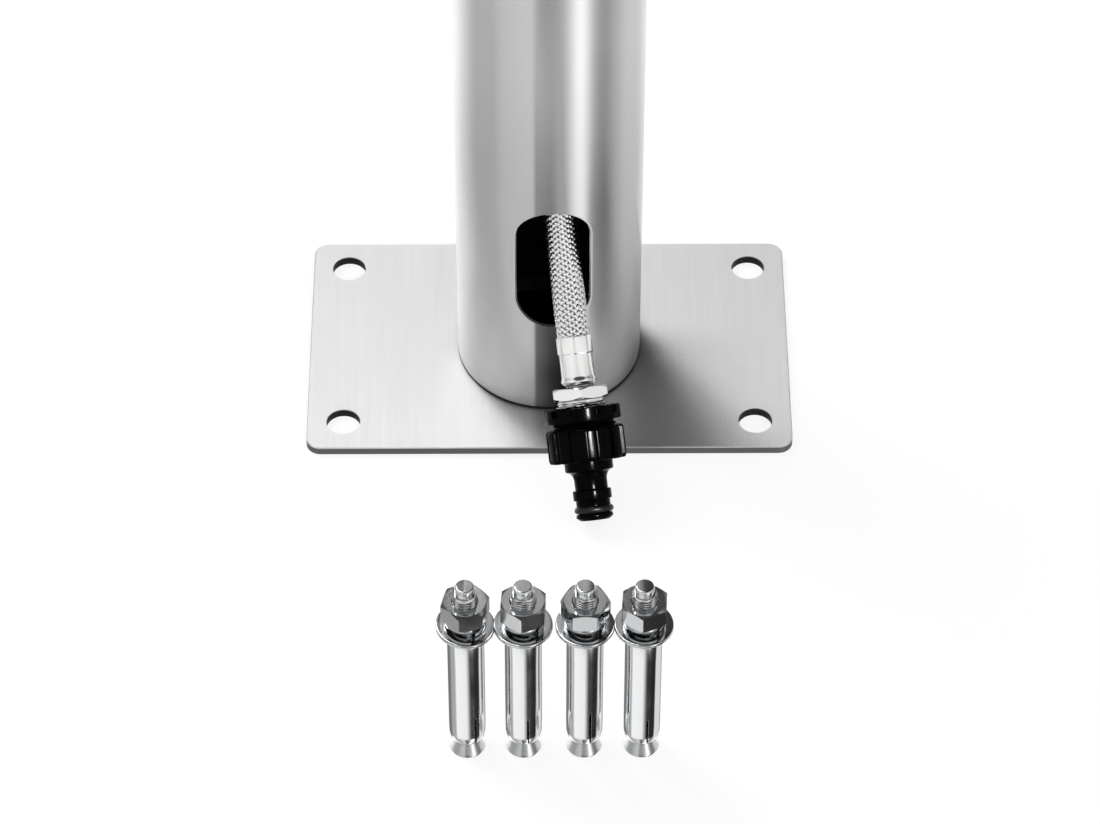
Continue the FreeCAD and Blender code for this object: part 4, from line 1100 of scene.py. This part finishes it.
def ballCapNut():
    # tapering cap nut with a band of fine ribs for the grip: r = r0 + depth (|sin(n a / 2)| - 1)
    s = headSetup
    low, high, r, ball = s["capLow"], s["capHigh"], s["capRadius"], s["ball"]

    def ribbed(angles, radii, heights):
        onBand = np.clip((heights - low - 1.0) / 0.4, 0, 1) * np.clip((ball - 0.6 - heights) / 0.4, 0, 1)
        onBand = onBand * (radii > r - 0.3)
        return radii + s["knurlDepth"] * (np.abs(np.sin(angles * s["knurls"] / 2)) - 1) * onBand

    nut = turned([(11.4, high, 0.2), (r - 4.0, high, 0.5), (r - 0.3, ball + 0.5, 0.3), (r, ball - 0.3),
                  (r, ball - 1.2), (r, ball - 3.0), (r, low + 1.6), (r, low + 0.6, 0.3), (r - 0.6, low),
                  (15.6, low), (15.6, ball - 1.4), (11.15, ball - 1.4), (11.15, ball), (10.9, ball + 2.4),
                  (10.3, ball + 4.3), (9.4, high - 2.0, 0.2)], count=320, reshape=ribbed)
    piece("ballCapNut", [placed(nut, s["centre"])], "polished_steel", "head", ["ball_cap_nut"])


def headShell():
    # pressed dish: a low crown with one raised ring, a round shoulder, a straight rim and a turned-in lip
    s = headSetup
    low, r, inside, top = s["shellLow"], s["shellRadius"], s["shellInside"], s["socketLow"]
    dish = turned([(4.5, top - 1.2), (4.5, top - 0.02), (19.0, top - 0.02, 0.3), (20.0, top - 0.55, 0.3),
                   (24.0, top - 0.62, 0.2), (25.0, top - 0.3, 0.4), (27.0, top - 0.36, 0.4),
                   (28.0, top - 0.8, 0.3), (50.0, top - 1.1), (r - 6.0, top - 1.75, 2.0),
                   (r - 1.6, top - 2.3, 1.2), (r, top - 4.2, 1.2), (r, low + 1.0), (r - 0.4, low, 0.4),
                   (inside, low, 0.1), (inside, top - 4.4, 1.0), (inside - 2.0, top - 3.2, 1.0),
                   (50.0, top - 2.3), (20.0, top - 1.75)], count=200)
    piece("headShell", [placed(dish, s["centre"])], "polished_steel", "head", ["head_shell"])


coverRings()
valveLever()
swivelNut()
ballSocket()
ballCapNut()
headShell()
print("upper fittings made")

# Expansion anchors

anchorSetup = {
    "places": [(-32.2, -214.0), (-10.5, -214.0), (12.8, -214.0), (34.9, -214.0)],
    "nutTurns": [15.0, 26.0, 0.0, 26.0],
    "slitTurns": [299.0, 284.0, 288.0, 286.0],
    "springTurns": [300.0, 318.0, 322.0, 318.0],
    "slitLengths": [16.0, 15.5, 19.5, 15.5],
    "washerTilt": [3.5, 0.0, 0.0, 0.0],
    "sleeveLow": 7.3,
    "sleeveHigh": 69.8,
    "sleeveRadius": 7.0,
    "sleeveWall": 1.3,
    "slitWidth": 0.9,
    "slitRim": 0.05,
    "nutLow": 76.5,
    "nutHigh": 84.9,
    "nutFlats": 16.5,
    "studRadius": 4.75,
    "threadPitch": 1.25,
    "length": 93.0,
}


def anchorStud():
    # spreading cone, plain shank, helical thread and a smaller plain tip
    s = anchorSetup
    cone = turned([(0, 0), (6.3, 0, 0.3), (6.8, 0.4, 0.3), (6.75, 1.2, 0.3), (4.6, 6.6, 0.6), (4.4, 8.5),
                   (4.4, 76.0), (0, 76.0)], closed=False, count=64)
    thread = screw(s["studRadius"], 0.72, s["threadPitch"], 75.5, s["length"] - 3.9, 74.0, count=64)
    tip = turned([(0, s["length"] - 4.6), (3.75, s["length"] - 4.6), (3.75, s["length"] - 0.6, 0.4),
                  (3.2, s["length"], 0.3), (0, s["length"])], closed=False, count=64)
    return [cone, thread, tip]


def anchorSleeve(slitTurn, slitLength):
    # rolled tube: one row per height, the faces inside the slit left out, the wall from Solidify
    s = anchorSetup
    half = s["slitWidth"] / 2 / s["sleeveRadius"]
    rim = s["slitRim"] / s["sleeveRadius"]
    span = np.concatenate([[half], np.linspace(half + rim, tau - half - rim, 89), [tau - half]])
    angles = (math.radians(slitTurn) + np.concatenate([[0.0], span]))[None]
    low, high = s["sleeveLow"], s["sleeveHigh"]
    heights = np.array([low, low + 0.5, low + 1.1, low + 2.0, low + 3.2, low + 5.0, low + 8.0, low + 12.0,
                        low + slitLength - 0.6, low + slitLength, low + slitLength + s["slitRim"],
                        low + slitLength + 0.6, 40.0, 55.0, high - 0.8, high - 0.25, high])[:, None]
    inward = np.interp(heights[:, 0], [low, low + 1.1, low + 3.2, low + 8, high - 0.8, high - 0.25, high],
                       [1.0, 0.45, 0.08, 0, 0, 0.05, 0.3])
    radii = s["sleeveRadius"] - inward[:, None] + 0 * angles
    points = around(radii, heights, angles)
    keep = np.ones((len(heights) - 1, angles.shape[1]), bool)
    inSlit = heights[1:, 0] <= low + slitLength + 0.01
    keep[inSlit, 0] = False
    keep[inSlit, -1] = False
    return surface(points, keep=keep)


def springWasher(turn):
    # a square bar wound as a helix of almost one turn, its ends cut square
    inner, outer, thick, pitch = 5.2, 7.8, 2.1, 2.75
    angles = np.linspace(0, math.radians(350), 80)[:, None]
    bar = profile([(inner, 0, 0.3), (outer, 0, 0.3), (outer, thick, 0.3), (inner, thick, 0.3)], closed=True,
                  steps=3)
    height = bar[None, :, 1] + pitch * angles / tau + 71.65
    points = around(bar[None, :, 0] + 0 * angles, height, angles + math.radians(turn))
    return surface(capped(points))


def tilted(part, degrees, height):
    # leans a part about a line along Y through its middle
    points, faces = part
    turn = math.radians(degrees)
    x, z = points[:, 0], points[:, 2] - height
    across = x * math.cos(turn) + z * math.sin(turn)
    up = height - x * math.sin(turn) + z * math.cos(turn)
    return np.stack([across, points[:, 1], up], -1), faces


def anchorSet():
    s = anchorSetup
    studs, sleeves, washers, springs, nuts = [], [], [], [], []
    for i, (x, y) in enumerate(s["places"]):
        spot = (x, y, 0)
        studs += [placed(p, spot, spin=i * 1.3) for p in anchorStud()]
        sleeves.append(placed(anchorSleeve(s["slitTurns"][i], s["slitLengths"][i]), spot))
        disc = turned([(5.0, 69.85, 0.2), (11.2, 69.85, 0.5), (11.2, 71.6, 0.5), (5.0, 71.6, 0.2)], count=72)
        washers.append(placed(tilted(disc, s["washerTilt"][i], 70.7), spot))
        springs.append(placed(springWasher(s["springTurns"][i]), spot))
        nut = hexNut(s["nutFlats"], s["nutLow"], s["nutHigh"], 4.6)
        nuts.append(placed(nut, spot, spin=math.radians(s["nutTurns"][i])))
    piece("anchorStuds", studs, "anchorStud", nodes=["anchor_studs"])
    rolled = piece("anchorSleeves", sleeves, "anchor_steel", nodes=["anchor_sleeves"], sharp=40)
    walled(rolled, s["sleeveWall"], "tube_inside")
    piece("anchorFlatWashers", washers, "anchorNut", nodes=["anchor_flat_washers"])
    piece("anchorSpringWashers", springs, "anchorNut", nodes=["anchor_spring_washers"])
    piece("anchorNuts", nuts, "anchorNut", nodes=["anchor_nuts"], sharp=22)


anchorSet()
print("anchors made")
